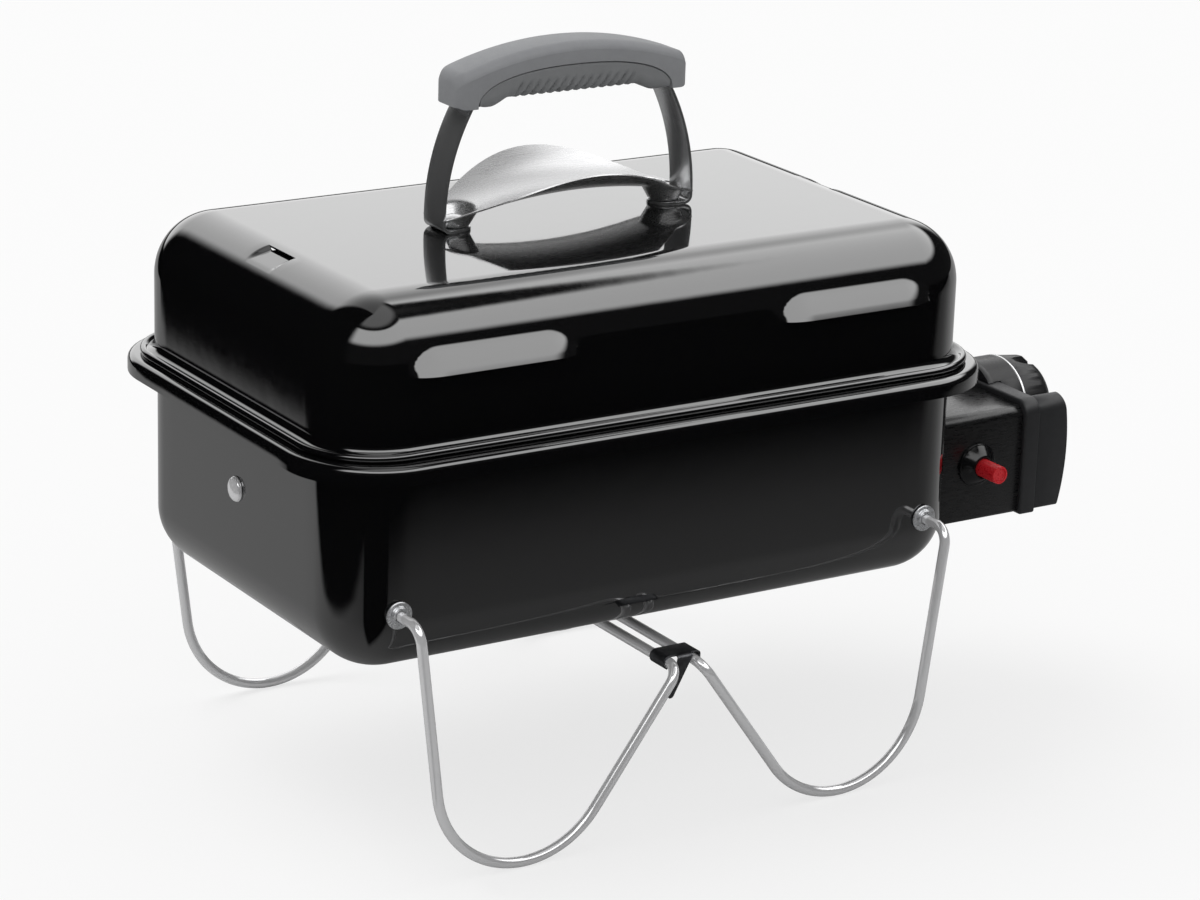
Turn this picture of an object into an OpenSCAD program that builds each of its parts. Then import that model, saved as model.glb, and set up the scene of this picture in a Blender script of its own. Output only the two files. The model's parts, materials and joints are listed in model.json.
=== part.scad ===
// Portable tabletop gas grill: pressed enamel bowl and lift-off lid, two swinging wire
// legs joined by a spring clip, and a gas control box on the right end.
// Sizes are in millimetres. Z = 0 is the table, X runs along the grill, the front faces -Y.

/* [Bowl and lid] */
// Outside length of the bowl, wall to wall
bowl_len = 411; // [404:1:418]
// Outside depth of the bowl, wall to wall
bowl_depth = 255; // [250:1:258]
// Height of the bowl from its underside to the ledge on its rim
bowl_h = 127; // [125:1:130]
// Height of the lid above that ledge
lid_h = 82.7; // [82:0.1:83]
// Radius of the upright corners of the bowl
corner_r = 37; // [36:1:40]
// Radius between the walls and the floor of the bowl
floor_r = 35; // [30:1:35]
// Radius between the walls and the top of the lid
crown_r = 36; // [33:1:36]
// Thickness of the enamelled sheet
sheet_t = 1.2; // [1:0.1:1.4]
// How far the rim stands out from the bowl wall
rim_out = 17; // [15:1:18]
// Height of the turned-down skirt of the rim
rim_drop = 10.5; // [9:0.5:12]

/* [Legs] */
// Thickness of the leg wire
wire_d = 6; // [5.6:0.2:6]
// Distance of each leg pivot from the middle of the bowl
pivot_x = 174; // [173:0.5:175]
// Height of the leg pivots above the underside of the bowl
pivot_z = 39; // [38:0.5:40]
// Distance of each crossbar from the middle of the bowl
bar_x = 7.7; // [7.5:0.1:8]
// Depth of the crossbars below the underside of the bowl
bar_drop = 13.8; // [13.5:0.1:14]
// Distance of the leg sides from the middle plane
leg_y = 151; // [150:0.5:153]
// Radius of the round foot of each leg
foot_r = 56.2; // [54:0.2:57]
// Distance of the centre of the round foot from the middle of the bowl
foot_x = 105.6; // [104:0.2:107]
// Depth of the centre of the round foot below the underside of the bowl
foot_drop = 53; // [52:0.5:54]
// Radius of the bends where the wire turns inward
bend_r = 10; // [9:0.5:11]

/* [Handle] */
// Width of the flat handle strap
strap_w = 22; // [20:1:24]
// Thickness of the handle strap
strap_t = 1.8; // [1.6:0.1:2]
// Distance of the strap sides from the middle of the lid
strap_x = 83; // [82:0.5:84]
// Length of the grip
grip_len = 152; // [150:1:154]
// Width of the grip
grip_w = 30; // [28:1:32]
// Height of the top of the grip above the lid
grip_h = 103.5; // [102:0.5:105]

/* [Gas control box] */
// Distance of the front of the box in front of the middle plane
box_front = 81.5; // [80:0.5:83]
// Distance of the open back of the box behind the middle plane
box_back = 37; // [36:0.5:38]
// Underside of the box above the underside of the bowl
box_low = 11.5; // [11:0.5:12]
// Top of the box above the underside of the bowl
box_top = 78; // [77:0.5:79]
// Right end of the sheet box, inside the bezel
box_right = 290; // [288:0.5:290]
// Right end of the end cover
cover_right = 314; // [313:0.5:315]
// Right end of the control knob
knob_right = 330; // [328:0.5:332]
// Radius of the regulator beside its ring
reg_r = 30.8; // [30:0.2:31]

/* [Hidden] */
$fn = 64;

hole_gap = 0.3;
seat_gap = 0.05;
// a straight wire is drawn this much thinner than its bends, so the two end in a clean step
bend_step = 0.01;
// and runs this far into them
bend_lap = 0.05;

foot_low = foot_drop + foot_r + wire_d / 2;
mid_x = -(knob_right - (bowl_len / 2 + rim_out)) / 2;

bowl_a = bowl_len / 2;
bowl_b = bowl_depth / 2;
lid_a = bowl_a + 2;
lid_b = bowl_b - 0.5;
lid_low = bowl_h + 0.2;
lid_top = bowl_h + lid_h;

wall_in_x = bowl_a - sheet_t;

reg_y = -22.3;
reg_z = 59.2;
ring_x = 306;

igniter_x = 247;
igniter_z = 47;

handle_x = 70;
arc_r = 128;
part_r = 107;
part_z = lid_top + 90.5 - part_r;

// Moves a piece from the bowl's own frame (underside of the bowl, middle of the bowl) to the table frame.
module at_table() {
    translate([mid_x, 0, foot_low]) children();
}

// Flat ring sector between two radii, from angle a0 to a1 (less than 180 degrees apart).
module ring_sector(r_out, r_in, a0, a1) {
    reach = 3 * r_out;
    am = (a0 + a1) / 2;
    intersection() {
        difference() {
            circle(r = r_out, $fn = 128);
            circle(r = r_in, $fn = 128);
        }
        polygon([
            [0, 0],
            [reach * cos(a0), reach * sin(a0)],
            [reach * cos(am), reach * sin(am)],
            [reach * cos(a1), reach * sin(a1)]
        ]);
    }
}

// Rectangle with round corners, centred on the origin.
module round_plan(len, dep, r) {
    union() {
        square([len, dep - 2 * r], center = true);
        square([len - 2 * r, dep], center = true);
        for (x = [-1, 1], y = [-1, 1])
            translate([x * (len / 2 - r), y * (dep / 2 - r)]) circle(r = r);
    }
}

// Lays a flat outline up in the XZ plane and gives it a depth, centred on y.
module upright(dep, y = 0) {
    translate([0, y + dep / 2, 0]) rotate([90, 0, 0]) linear_extrude(height = dep) children();
}

// Carries a wall section round a rectangle with round corners. The section's x runs
// outward from the centre of a corner, and its y runs upward.
module carry_round(a, b, r) {
    for (sx = [0, 1], sy = [0, 1])
        mirror([sx, 0, 0]) mirror([0, sy, 0])
            translate([a - r, b - r, 0]) rotate_extrude(angle = 90) children();
    for (s = [0, 1])
        mirror([s, 0, 0]) translate([a - r, b - r, 0])
            rotate([90, 0, 0]) linear_extrude(height = 2 * (b - r)) children();
    for (s = [0, 1])
        mirror([0, s, 0]) translate([-(a - r), b - r, 0])
            rotate([90, 0, 90]) linear_extrude(height = 2 * (a - r)) children();
}

// Round bar along X, Y or in the XZ plane at an angle.
module bar_x(x0, x1, r) {
    translate([x0, 0, 0]) rotate([0, 90, 0]) cylinder(h = x1 - x0, r = r);
}

module bar_y(y0, y1, r) {
    translate([0, y0, 0]) rotate([-90, 0, 0]) cylinder(h = y1 - y0, r = r);
}

// Quarter bend of a round bar: starts at the origin going to -Y and ends going to +X.
module quarter_bend(r, bend) {
    translate([bend, 0, 0]) rotate([0, 0, 180]) rotate_extrude(angle = 90)
        translate([bend, 0]) circle(r = r);
}

// ---------------------------------------------------------------- bowl

module bowl_section() {
    edge_r = 4;
    neck_r = 3;
    low_x = corner_r - floor_r;
    union() {
        square([low_x, sheet_t]);
        translate([low_x, floor_r]) ring_sector(floor_r, floor_r - sheet_t, -90, 0);
        translate([corner_r - sheet_t, floor_r])
            square([sheet_t, bowl_h - sheet_t - neck_r - floor_r]);
        translate([corner_r + neck_r, bowl_h - sheet_t - neck_r])
            ring_sector(neck_r + sheet_t, neck_r, 90, 180);
        translate([corner_r + neck_r, bowl_h - sheet_t])
            square([rim_out - neck_r - edge_r, sheet_t]);
        translate([corner_r + rim_out - edge_r, bowl_h - edge_r])
            ring_sector(edge_r, edge_r - sheet_t, 0, 90);
        translate([corner_r + rim_out - sheet_t, bowl_h - rim_drop])
            square([sheet_t, rim_drop - edge_r]);
    }
}

module pivot_spots() {
    for (sx = [0, 1], sy = [0, 1])
        mirror([sx, 0, 0]) mirror([0, sy, 0]) translate([pivot_x, -bowl_b, pivot_z]) children();
}

box_screw_r = 2.5;
end_bolt_z = 76.5;
burner_hole_r = 15;
electrode_y = -30;

module box_screw_spots() {
    for (y = [-65, 24], z = [44, 70]) translate([bowl_a, y, z]) children();
}

module bowl() {
    at_table() color("#141416") difference() {
        union() {
            carry_round(bowl_a, bowl_b, corner_r) bowl_section();
            translate([0, 0, sheet_t / 2])
                cube([2 * (bowl_a - corner_r), 2 * (bowl_b - corner_r), sheet_t], center = true);
        }
        pivot_spots() bar_y(-4, 8, wire_d / 2 + hole_gap);
        translate([-bowl_a, 0, end_bolt_z]) bar_x(-5, 5, 3.3);
        translate([bowl_a, 0, reg_z]) bar_x(-5, 5, burner_hole_r);
        translate([bowl_a, electrode_y, igniter_z]) bar_x(-5, 5, 4);
        box_screw_spots() bar_x(-5, 5, box_screw_r + hole_gap);
    }
}

// Angle tabs that stand off the end walls and carry the grate.
rest_z = 108;

module grate_rests() {
    at_table() color("#1a1a1c") for (s = [0, 1], y = [-70, 70])
        mirror([s, 0, 0]) translate([wall_in_x - seat_gap, y, 0]) {
            translate([-1.5, -12, rest_z - 14]) cube([1.5, 24, 14]);
            translate([-12, -12, rest_z - 1.5]) cube([12, 24, 1.5]);
        }
}

// ---------------------------------------------------------------- burner and grate

burner_r = 12.5;
burner_left = -186;
burner_right = 232;

module burner_tube() {
    at_table() color("silver") translate([0, 0, reg_z]) difference() {
        bar_x(burner_left, burner_right, burner_r);
        bar_x(burner_left + 1, burner_right + 1, burner_r - 1);
        for (s = [-1, 1], k = [0:14])
            translate([-150 + k * 20, 0, 0]) rotate([s * 65, 0, 0])
                cylinder(h = burner_r + 2, r = 1.5, $fn = 24);
    }
}

// Strip that carries the closed end of the burner and hangs from the left end wall.
module burner_end_bracket() {
    at_table() color("silver") difference() {
        union() {
            translate([-wall_in_x + seat_gap, -17, reg_z - 16]) cube([1.5, 34, 44]);
            translate([-wall_in_x + seat_gap, -17, reg_z - 16]) cube([36, 34, 1.5]);
            translate([-wall_in_x + seat_gap + 34.5, -17, reg_z - 16]) cube([1.5, 34, 34]);
        }
        translate([-wall_in_x, 0, end_bolt_z]) bar_x(-5, 5, 3.3);
        translate([0, 0, reg_z]) bar_x(-wall_in_x + 20, burner_left + 40, burner_r + 0.3);
    }
}

// Roof-shaped plate above the burner, with two low feet on the floor of the bowl.
module heat_deflector() {
    ridge_z = 92;
    half = 45;
    drop = 16;
    at_table() color("#3a3a3c") union() {
        translate([-150, 0, 0]) rotate([90, 0, 90]) linear_extrude(height = 300) polygon([
            [-half, ridge_z - drop], [0, ridge_z], [half, ridge_z - drop],
            [half, ridge_z - drop - 1.5], [0, ridge_z - 1.5], [-half, ridge_z - drop - 1.5]
        ]);
        for (x = [-120, 120], s = [-1, 1])
            translate([x - 10, s * (half - 1) - 0.75, sheet_t + seat_gap])
                cube([20, 1.5, ridge_z - drop - 0.25 - sheet_t]);
    }
}

grate_wire_r = 2;
grate_x = 194;
grate_y = 118;
grate_bend = 28;

// Half length of a grate wire that lies at the given distance from the middle.
function grate_reach(y) =
    y <= grate_y - grate_bend ? grate_x
        : grate_x - grate_bend + sqrt(pow(grate_bend, 2) - pow(y - grate_y + grate_bend, 2));

module cooking_grate() {
    frame_r = 3;
    side_r = frame_r - bend_step;
    frame_z = rest_z + seat_gap + frame_r;
    at_table() color("#2a2a2c") translate([0, 0, frame_z]) union() {
        for (s = [-1, 1]) {
            translate([s * grate_x, 0, 0]) bar_y(grate_bend - grate_y, grate_y - grate_bend, side_r);
            translate([0, s * grate_y, 0]) bar_x(grate_bend - grate_x, grate_x - grate_bend, side_r);
        }
        for (sx = [0, 1], sy = [0, 1])
            mirror([sx, 0, 0]) mirror([0, sy, 0])
                translate([grate_x - grate_bend, grate_y - grate_bend, 0])
                    rotate_extrude(angle = 90) translate([grate_bend, 0]) circle(r = frame_r);
        for (k = [-9:9])
            translate([0, k * 11.8, 1.5])
                bar_x(-grate_reach(abs(k) * 11.8), grate_reach(abs(k) * 11.8), grate_wire_r);
        for (x = [-65, 65])
            translate([x, 0, -0.6]) bar_y(1 - grate_y, grate_y - 1, grate_wire_r);
    }
}

cable_r = 1.5;
cable_bend = 8;

// Ceramic spark electrode, its clip plate on the end wall and its bare tip beside the burner.
module ignition_electrode() {
    tip_x = 168;
    at_table() color("#e8e4da") translate([0, electrode_y, igniter_z]) union() {
        translate([wall_in_x - seat_gap - 1.5, -8, -8]) cube([1.5, 16, 16]);
        bar_x(184, bowl_a + 3, 3.4);
        bar_x(tip_x, 185, 1);
        translate([tip_x, 0, 0]) rotate([-80, 0, 0]) cylinder(h = 13, r = 1.2);
    }
}

// Lead from the electrode to the back of the spark unit, with one level bend.
module ignition_cable() {
    start_x = bowl_a + 3.1;
    turn_x = igniter_x - cable_bend;
    at_table() color("#202020") translate([0, electrode_y, igniter_z]) union() {
        bar_x(start_x, turn_x, cable_r - bend_step);
        translate([turn_x, -cable_bend, 0]) rotate_extrude(angle = 90)
            translate([cable_bend, 0]) circle(r = cable_r);
        translate([igniter_x, 0, 0]) bar_y(-14, -cable_bend, cable_r - bend_step);
    }
}

// ---------------------------------------------------------------- gas control box

// Outline of a case seen from the end: round at the top front, nearly square below, open at the back.
module case_outline(front, low, top, back, r, r_low = 2) {
    union() {
        translate([-front + r, low]) square([front - r + back, top - low]);
        translate([-front + r_low, low]) square([front - r_low + back, top - low - r]);
        translate([-front, low + r_low]) square([front + back, top - low - r - r_low]);
        translate([-front + r_low, low + r_low]) circle(r = r_low);
        translate([-front + r, top - r]) circle(r = r);
    }
}

module case_shell(front, low, top, back, r, t) {
    difference() {
        case_outline(front, low, top, back, r);
        case_outline(front - t, low + t, top - t, back + 1, r - t, 0.7);
    }
}

module along_x(x0, x1) {
    translate([x0, 0, 0]) rotate([90, 0, 90]) linear_extrude(height = x1 - x0) children();
}

box_left = bowl_a + 0.3;
box_t = 1.2;

// Sheet box with an end flange that bolts to the bowl; the flange is open in the middle
// and has a round clearance hole for the burner.
module control_box() {
    at_table() color("#121214") difference() {
        union() {
            along_x(box_left, box_right) case_shell(box_front, box_low, box_top, box_back, 6, box_t);
            along_x(box_left, box_left + box_t) difference() {
                case_outline(box_front, box_low, box_top, box_back, 6);
                case_outline(box_front - 26, box_low + 20, box_top - 18, box_back - 24, 2);
                translate([0, reg_z]) circle(r = burner_hole_r);
            }
        }
        translate([igniter_x, -box_front, igniter_z]) bar_y(-5, 5, 8);
        box_screw_spots() bar_x(-5, 5, box_screw_r + hole_gap);
        bezel_screw_spots() cylinder(h = 5, r = bezel_screw_r + hole_gap);
    }
}

module box_screws() {
    at_table() color("silver") box_screw_spots() union() {
        translate([0.3 + box_t + seat_gap, 0, 0]) bar_x(0, 3, 4.5);
        bar_x(-9, 1.9, box_screw_r);
    }
}

module box_nuts() {
    at_table() color("silver") box_screw_spots()
        translate([-sheet_t - seat_gap, 0, 0]) difference() {
            rotate([0, -90, 0]) cylinder(h = 4, r = 4.6, $fn = 6);
            bar_x(-9, 2, box_screw_r + 0.05);
        }
}

bezel_left = 280.5;
bezel_right = 291.5;
bezel_front = box_front + 3.2;
bezel_low = box_low - 1.2;
bezel_top = box_top + 4;
bezel_screw_x = 285.5;
bezel_screw_r = 2;

module bezel_screw_spots() {
    for (y = [-55, 12]) translate([bezel_screw_x, y, bezel_low]) children();
}

// Plastic frame that wraps the right end of the box.
module box_bezel() {
    at_table() color("#2b2c2e") difference() {
        along_x(bezel_left, bezel_right)
            case_shell(bezel_front, bezel_low, bezel_top, box_back + 2, 9, 4.8);
        along_x(bezel_left - 1, box_right + 0.3)
            case_outline(box_front + 0.15, box_low - 0.15, box_top + 0.15, box_back + 4, 6.15);
        bezel_screw_spots() translate([0, 0, -1]) cylinder(h = 6, r = bezel_screw_r + hole_gap);
    }
}

module bezel_screws() {
    at_table() color("silver") bezel_screw_spots() union() {
        translate([0, 0, -2.2]) cylinder(h = 2.15, r = 4);
        translate([0, 0, -1]) cylinder(h = 10, r = bezel_screw_r);
    }
}

cover_left = bezel_right + 0.15;
cover_front = bezel_front - 0.8;
cover_low = box_low + 0.8;
cover_top = bezel_top - 0.4;
cover_t = 2.5;
knob_gap = 3.5;
cradle_y = -74;

// End cover with a bowed right face and an open cradle for the knob.
module end_cover() {
    bow_r = 150;
    bow_z = 50;
    at_table() color("#27282a") difference() {
        intersection() {
            along_x(cover_left, cover_right)
                case_outline(cover_front, cover_low, cover_top, box_back + 2, 9);
            translate([cover_right - bow_r, 0, bow_z])
                rotate([90, 0, 0]) cylinder(h = 300, r = bow_r, center = true, $fn = 256);
        }
        along_x(cover_left - 1, cover_right - 6)
            case_outline(cover_front - cover_t, cover_low + cover_t, cover_top - cover_t,
                box_back + 4, 6.5, 0.7);
        translate([0, reg_y, reg_z]) bar_x(cover_left - 1, cover_right + 1, reg_r + knob_gap);
        translate([cover_left - 1, cradle_y, reg_z])
            cube([cover_right, reg_y + reg_r + knob_gap - cradle_y, 60]);
    }
}

// ---------------------------------------------------------------- regulator, pipe and knob

reg_neck_r = 9;
reg_neck_left = 262;
plate_x = 266;
body_left = 282;
body_full = 292.5;

// Upright plate in the box that carries the neck of the regulator.
module regulator_bracket() {
    plate_z = box_low + box_t + seat_gap;
    at_table() color("#77787a") difference() {
        union() {
            translate([plate_x, -70, plate_z]) cube([1.5, 100, 62]);
            translate([plate_x - 12, -70, plate_z]) cube([13.5, 100, 1.5]);
        }
        translate([0, reg_y, reg_z]) bar_x(plate_x - 2, plate_x + 4, reg_neck_r + 0.1);
    }
}

port_x = 291;
port_r = 12.7;
port_wall = 1.8;
port_depth = 16;
port_end = 29;
stem_r = 4;

// Drum with a threaded inlet at the back. Its shoulder rests over the bezel.
module regulator_body() {
    at_table() color("#1d1e20") difference() {
        union() {
            translate([0, reg_y, reg_z]) bar_x(reg_neck_left, body_full + 1, reg_neck_r);
            difference() {
                translate([0, reg_y, reg_z]) union() {
                    bar_x(body_left, body_left + 5, reg_r + 1.6);
                    bar_x(body_left + 5, ring_x, reg_r + 0.5);
                }
                translate([body_left - 1, -100, bezel_top + 0.3 - 100])
                    cube([body_full - body_left + 1, 200, 100]);
            }
            translate([port_x, 0, reg_z]) bar_y(reg_y + 10, port_end, port_r + port_wall);
        }
        translate([port_x, 0, reg_z]) bar_y(port_end - port_depth, port_end + 1, port_r);
        translate([0, reg_y, reg_z]) bar_x(ring_x - 12, ring_x + 1, stem_r + seat_gap);
    }
}

module regulator_ring() {
    at_table() color("silver") translate([0, reg_y, reg_z]) difference() {
        bar_x(ring_x + seat_gap, ring_x + 1.5, reg_r + 0.6);
        bar_x(ring_x - 1, ring_x + 3, 6);
    }
}

module control_knob() {
    notch_n = 5;
    knob_x = ring_x + 2;
    face_h = 5;
    face_r = reg_r - 2;
    at_table() color("#1b1c1e") translate([0, reg_y, reg_z]) difference() {
        union() {
            translate([knob_x, 0, 0]) rotate([0, 90, 0])
                cylinder(h = knob_right - face_h - knob_x, r1 = reg_r, r2 = face_r);
            translate([knob_right - face_h, 0, 0]) rotate([0, 90, 0])
                cylinder(h = face_h, r1 = face_r, r2 = face_r - 4.2);
            bar_x(ring_x - 10, knob_x + 1, stem_r);
        }
        for (k = [0:notch_n - 1]) rotate([k * 360 / notch_n + 11, 0, 0])
            translate([knob_right, 0, reg_r - 3.5]) rotate([0, -60, 0])
                cylinder(h = 40, r = 6, center = true, $fn = 32);
    }
}

orifice_x = 233;
orifice_len = 6;
pipe_r = 4;
pipe_bend = 8;

// Pipe from the regulator to the middle of the bowl end: two bends in one level plane.
module gas_pipe() {
    first_x = reg_neck_left - 4;
    second_x = first_x - 2 * pipe_bend;
    straight_r = pipe_r - bend_step;
    at_table() color("#b58a3a") translate([0, 0, reg_z]) union() {
        translate([0, reg_y, 0]) bar_x(first_x, reg_neck_left - seat_gap, straight_r);
        translate([first_x, reg_y + pipe_bend, 0]) rotate([0, 0, 180])
            rotate_extrude(angle = 90) translate([pipe_bend, 0]) circle(r = pipe_r);
        translate([first_x - pipe_bend, 0, 0]) bar_y(reg_y + pipe_bend, -pipe_bend, straight_r);
        translate([second_x, -pipe_bend, 0])
            rotate_extrude(angle = 90) translate([pipe_bend, 0]) circle(r = pipe_r);
        bar_x(orifice_x + orifice_len + seat_gap, second_x, straight_r);
    }
}

module gas_orifice() {
    at_table() color("#b58a3a") translate([0, 0, reg_z]) difference() {
        bar_x(orifice_x, orifice_x + orifice_len, 5.5);
        bar_x(orifice_x - 1, orifice_x + 2, 1.2);
    }
}

// ---------------------------------------------------------------- igniter

button_r = 5.5;
button_out = 24;
button_back = 14;
igniter_bore_end = 30;

module at_igniter() {
    translate([igniter_x, -box_front, igniter_z]) children();
}

module igniter_collar() {
    at_table() color("#0c0c0e") at_igniter() difference() {
        union() {
            bar_y(-2.2, -seat_gap, 13.2);
            translate([0, -2, 0]) rotate([90, 0, 0]) cylinder(h = 6, r1 = 12.5, r2 = 7.4);
            bar_y(-1, 6, 7.6);
        }
        bar_y(-20, 20, button_r + 0.35);
    }
}

module igniter_body() {
    at_table() color("#18181a") at_igniter() difference() {
        bar_y(6.2, 40, 9);
        bar_y(5, igniter_bore_end, button_r + 0.8);
        bar_y(36, 50, 1.8);
    }
}

// Coil behind the button, drawn as short straight links along a helix.
module igniter_spring() {
    coil_r = 4.4;
    coil_wire_r = 0.45;
    turns = 5;
    steps = 10;
    y0 = button_back + 0.7;
    pitch = (igniter_bore_end - 0.7 - y0) / turns;
    at_table() color("silver") at_igniter() for (k = [0:turns * steps - 1]) hull() {
        coil_link(k / steps, coil_r, pitch, y0, coil_wire_r);
        coil_link((k + 1) / steps, coil_r, pitch, y0, coil_wire_r);
    }
}

module coil_link(turn, coil_r, pitch, y0, wire_r) {
    translate([coil_r * cos(360 * turn), y0 + pitch * turn, coil_r * sin(360 * turn)])
        sphere(r = wire_r, $fn = 6);
}

module igniter_button() {
    at_table() color("#c8202a") at_igniter() difference() {
        union() {
            bar_y(-button_out, 12, button_r);
            bar_y(11, button_back, button_r + 0.5);
        }
        bar_y(-button_out - 1, -button_out + 1.2, button_r - 0.9);
    }
}

// ---------------------------------------------------------------- legs

// distance of the wire ends inside the bowl from the middle plane
stub_in = 112;
leg_down = atan2(-foot_drop - pivot_z, foot_x - pivot_x);
leg_reach = norm([foot_drop + pivot_z, foot_x - pivot_x]);
leg_dir = leg_down + asin(foot_r / leg_reach);
leg_run = sqrt(leg_reach * leg_reach - foot_r * foot_r);

bar_down = atan2(bar_drop - foot_drop, foot_x - bar_x);
bar_reach = norm([foot_drop - bar_drop, foot_x - bar_x]);
bar_dir = bar_down - asin(foot_r / bar_reach);
bar_run = sqrt(bar_reach * bar_reach - foot_r * foot_r);

// Bend that turns a wire from along -Y to down the side of the leg, with the straight run after it.
module turned_wire(x, z, dir, run) {
    translate([x, 0, z]) union() {
        translate([0, -leg_y + bend_r, 0]) rotate([0, -dir, 0]) quarter_bend(wire_d / 2, bend_r);
        translate([0, -leg_y, 0]) rotate([0, -dir, 0])
            bar_x(bend_r - bend_lap, run + bend_lap, wire_d / 2 - bend_step);
    }
}

module leg_side() {
    foot_start = bar_dir - 90;
    foot_end = leg_dir + 90;
    union() {
        translate([pivot_x, 0, pivot_z])
            bar_y(-leg_y + bend_r - bend_lap, -stub_in, wire_d / 2 - bend_step);
        turned_wire(pivot_x, pivot_z, leg_dir, leg_run);
        turned_wire(bar_x, -bar_drop, bar_dir, bar_run);
        translate([foot_x, -leg_y, -foot_drop]) rotate([90, 0, 0]) rotate([0, 0, foot_start])
            rotate_extrude(angle = foot_end - foot_start)
                translate([foot_r, 0]) circle(r = wire_d / 2);
    }
}

module leg() {
    side_y = leg_y - bend_r + bend_lap;
    union() {
        leg_side();
        mirror([0, 1, 0]) leg_side();
        translate([bar_x, 0, -bar_drop]) bar_y(-side_y, side_y, wire_d / 2 - bend_step);
    }
}

module right_leg() {
    at_table() color("#d8d8da") leg();
}

module left_leg() {
    at_table() color("#d8d8da") mirror([1, 0, 0]) leg();
}

module pivot_washers() {
    at_table() color("#b9bbbe") pivot_spots() difference() {
        union() {
            bar_y(-1.6, -0.35, 7.7);
            bar_y(-3.4, -1.6, 5.2);
        }
        bar_y(-8, 4, wire_d / 2 + hole_gap);
    }
}

// Toothed nuts pressed on the wire ends, clear of the round corners of the bowl.
nut_inset = sheet_t + 2.8;

module push_nuts() {
    for (s = [0, 1]) mirror([0, s, 0]) translate([pivot_x, nut_inset - bowl_b, pivot_z])
        difference() {
            union() {
                bar_y(0, 1, 7);
                bar_y(1, 3, 4.6);
            }
            bar_y(-2, 8, wire_d / 2 + 0.02);
        }
}

module right_push_nuts() {
    at_table() color("#b9bbbe") push_nuts();
}

module left_push_nuts() {
    at_table() color("#b9bbbe") mirror([1, 0, 0]) push_nuts();
}

clip_front = -141;
clip_back = -126.5;
clip_t = 1;
tongue_y = -143.2;

// Spring clip: rolled round the left crossbar, with a plain lip over the right one and a
// pointed thumb tongue at the front.
module leg_clip() {
    hook_r = wire_d / 2 + 0.15;
    lip_x = bar_x + wire_d / 2 + 1.3;
    tab_x = -3.5;
    tab_len = 10;
    at_table() color("#56585c") translate([0, 0, -bar_drop]) union() {
        translate([0, clip_back, 0]) rotate([90, 0, 0]) linear_extrude(height = clip_back - clip_front)
            union() {
                translate([-bar_x, 0]) ring_sector(hook_r + clip_t, hook_r, 90, 250);
                translate([-bar_x, hook_r]) square([bar_x + lip_x, clip_t]);
                translate([lip_x, -0.5]) square([clip_t, hook_r + clip_t + 0.5]);
            }
        translate([tab_x, tongue_y - clip_t, hook_r])
            cube([tab_len, clip_front - tongue_y + clip_t + 0.5, clip_t]);
        translate([tab_x, tongue_y, hook_r + clip_t]) rotate([90, 0, 0])
            linear_extrude(height = clip_t) polygon([[0, 0], [tab_len, 0], [-3, -24], [-6, -23]]);
    }
}

// ---------------------------------------------------------------- lid

module lid_section() {
    groove_r = 4.5;
    bead_r = 1.8;
    wall_low = lid_low + 6.8;
    low_x = corner_r - crown_r;
    union() {
        translate([corner_r + 6, lid_low + bead_r]) circle(r = bead_r, $fn = 32);
        translate([corner_r + groove_r, wall_low - groove_r - sheet_t]) square([1.5, sheet_t]);
        translate([corner_r + groove_r, wall_low]) ring_sector(groove_r + sheet_t, groove_r, 180, 270);
        translate([corner_r - sheet_t, wall_low]) square([sheet_t, lid_top - crown_r - wall_low]);
        translate([low_x, lid_top - crown_r]) ring_sector(crown_r, crown_r - sheet_t, 0, 90);
        translate([0, lid_top - sheet_t]) square([low_x, sheet_t]);
    }
}

louvre_x = 117.5;
louvre_len = 104;
louvre_z = 171.4;
louvre_out = 8.2;
hood_t = 1;
hood_r = 50;
// how far the face of a hood leans back at its lip
lip_tilt = 28;

// Space under a louvre hood; less is how far its skin is set in.
module louvre_form(less) {
    end_r = 15.4;
    axis_y = lid_b + louvre_out - hood_r * cos(lip_tilt);
    axis_z = louvre_z - hood_r * sin(lip_tilt);
    intersection() {
        translate([0, -axis_y, axis_z])
            rotate([0, 90, 0]) cylinder(h = louvre_len, r = hood_r - less, center = true, $fn = 128);
        translate([0, -lid_b, louvre_z]) linear_extrude(height = 24)
            round_plan(louvre_len - 2 * less, 2 * (end_r - less), end_r - less - 0.01);
    }
}

catch_x = 177.8;
catch_len = 14;
catch_half = 15.5;

// Plan of the pocket pressed into the end of the lid, outside the slit that catches a folded leg.
module catch_plan(grow) {
    translate([catch_x, 0]) intersection() {
        round_plan(2 * (catch_len + grow), 2 * (catch_half + grow), 6 + grow);
        translate([-0.3 * grow, -40]) square([40, 80]);
    }
}

// Everything above the floor of the pocket, or above a level sunk below it.
module catch_room(sink, grow) {
    floor_z = lid_top - 2.7 - sink;
    end_x = catch_x + 20;
    intersection() {
        upright(40) polygon([
            [catch_x - 1, floor_z + 0.257],
            [end_x, floor_z - 0.257 * 20],
            [end_x, lid_top + 5],
            [catch_x - 1, lid_top + 5]
        ]);
        translate([0, 0, lid_top - 15]) linear_extrude(height = 20) catch_plan(grow);
    }
}

// Sheet that forms the floor and the sides of the pocket.
module catch_tray() {
    intersection() {
        catch_room(1, 1);
        translate([lid_a - crown_r, 0, lid_top - crown_r])
            rotate([90, 0, 0]) cylinder(h = 60, r = crown_r - 0.3, center = true, $fn = 128);
    }
}

module lid_skin() {
    carry_round(lid_a, lid_b, corner_r) lid_section();
    translate([0, 0, lid_top - sheet_t / 2])
        cube([2 * (lid_a - corner_r), 2 * (lid_b - corner_r), sheet_t], center = true);
}

module louvre_forms(less) {
    for (x = [-louvre_x, louvre_x], s = [0, 1])
        mirror([0, s, 0]) translate([x, 0, 0]) louvre_form(less);
}

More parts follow.
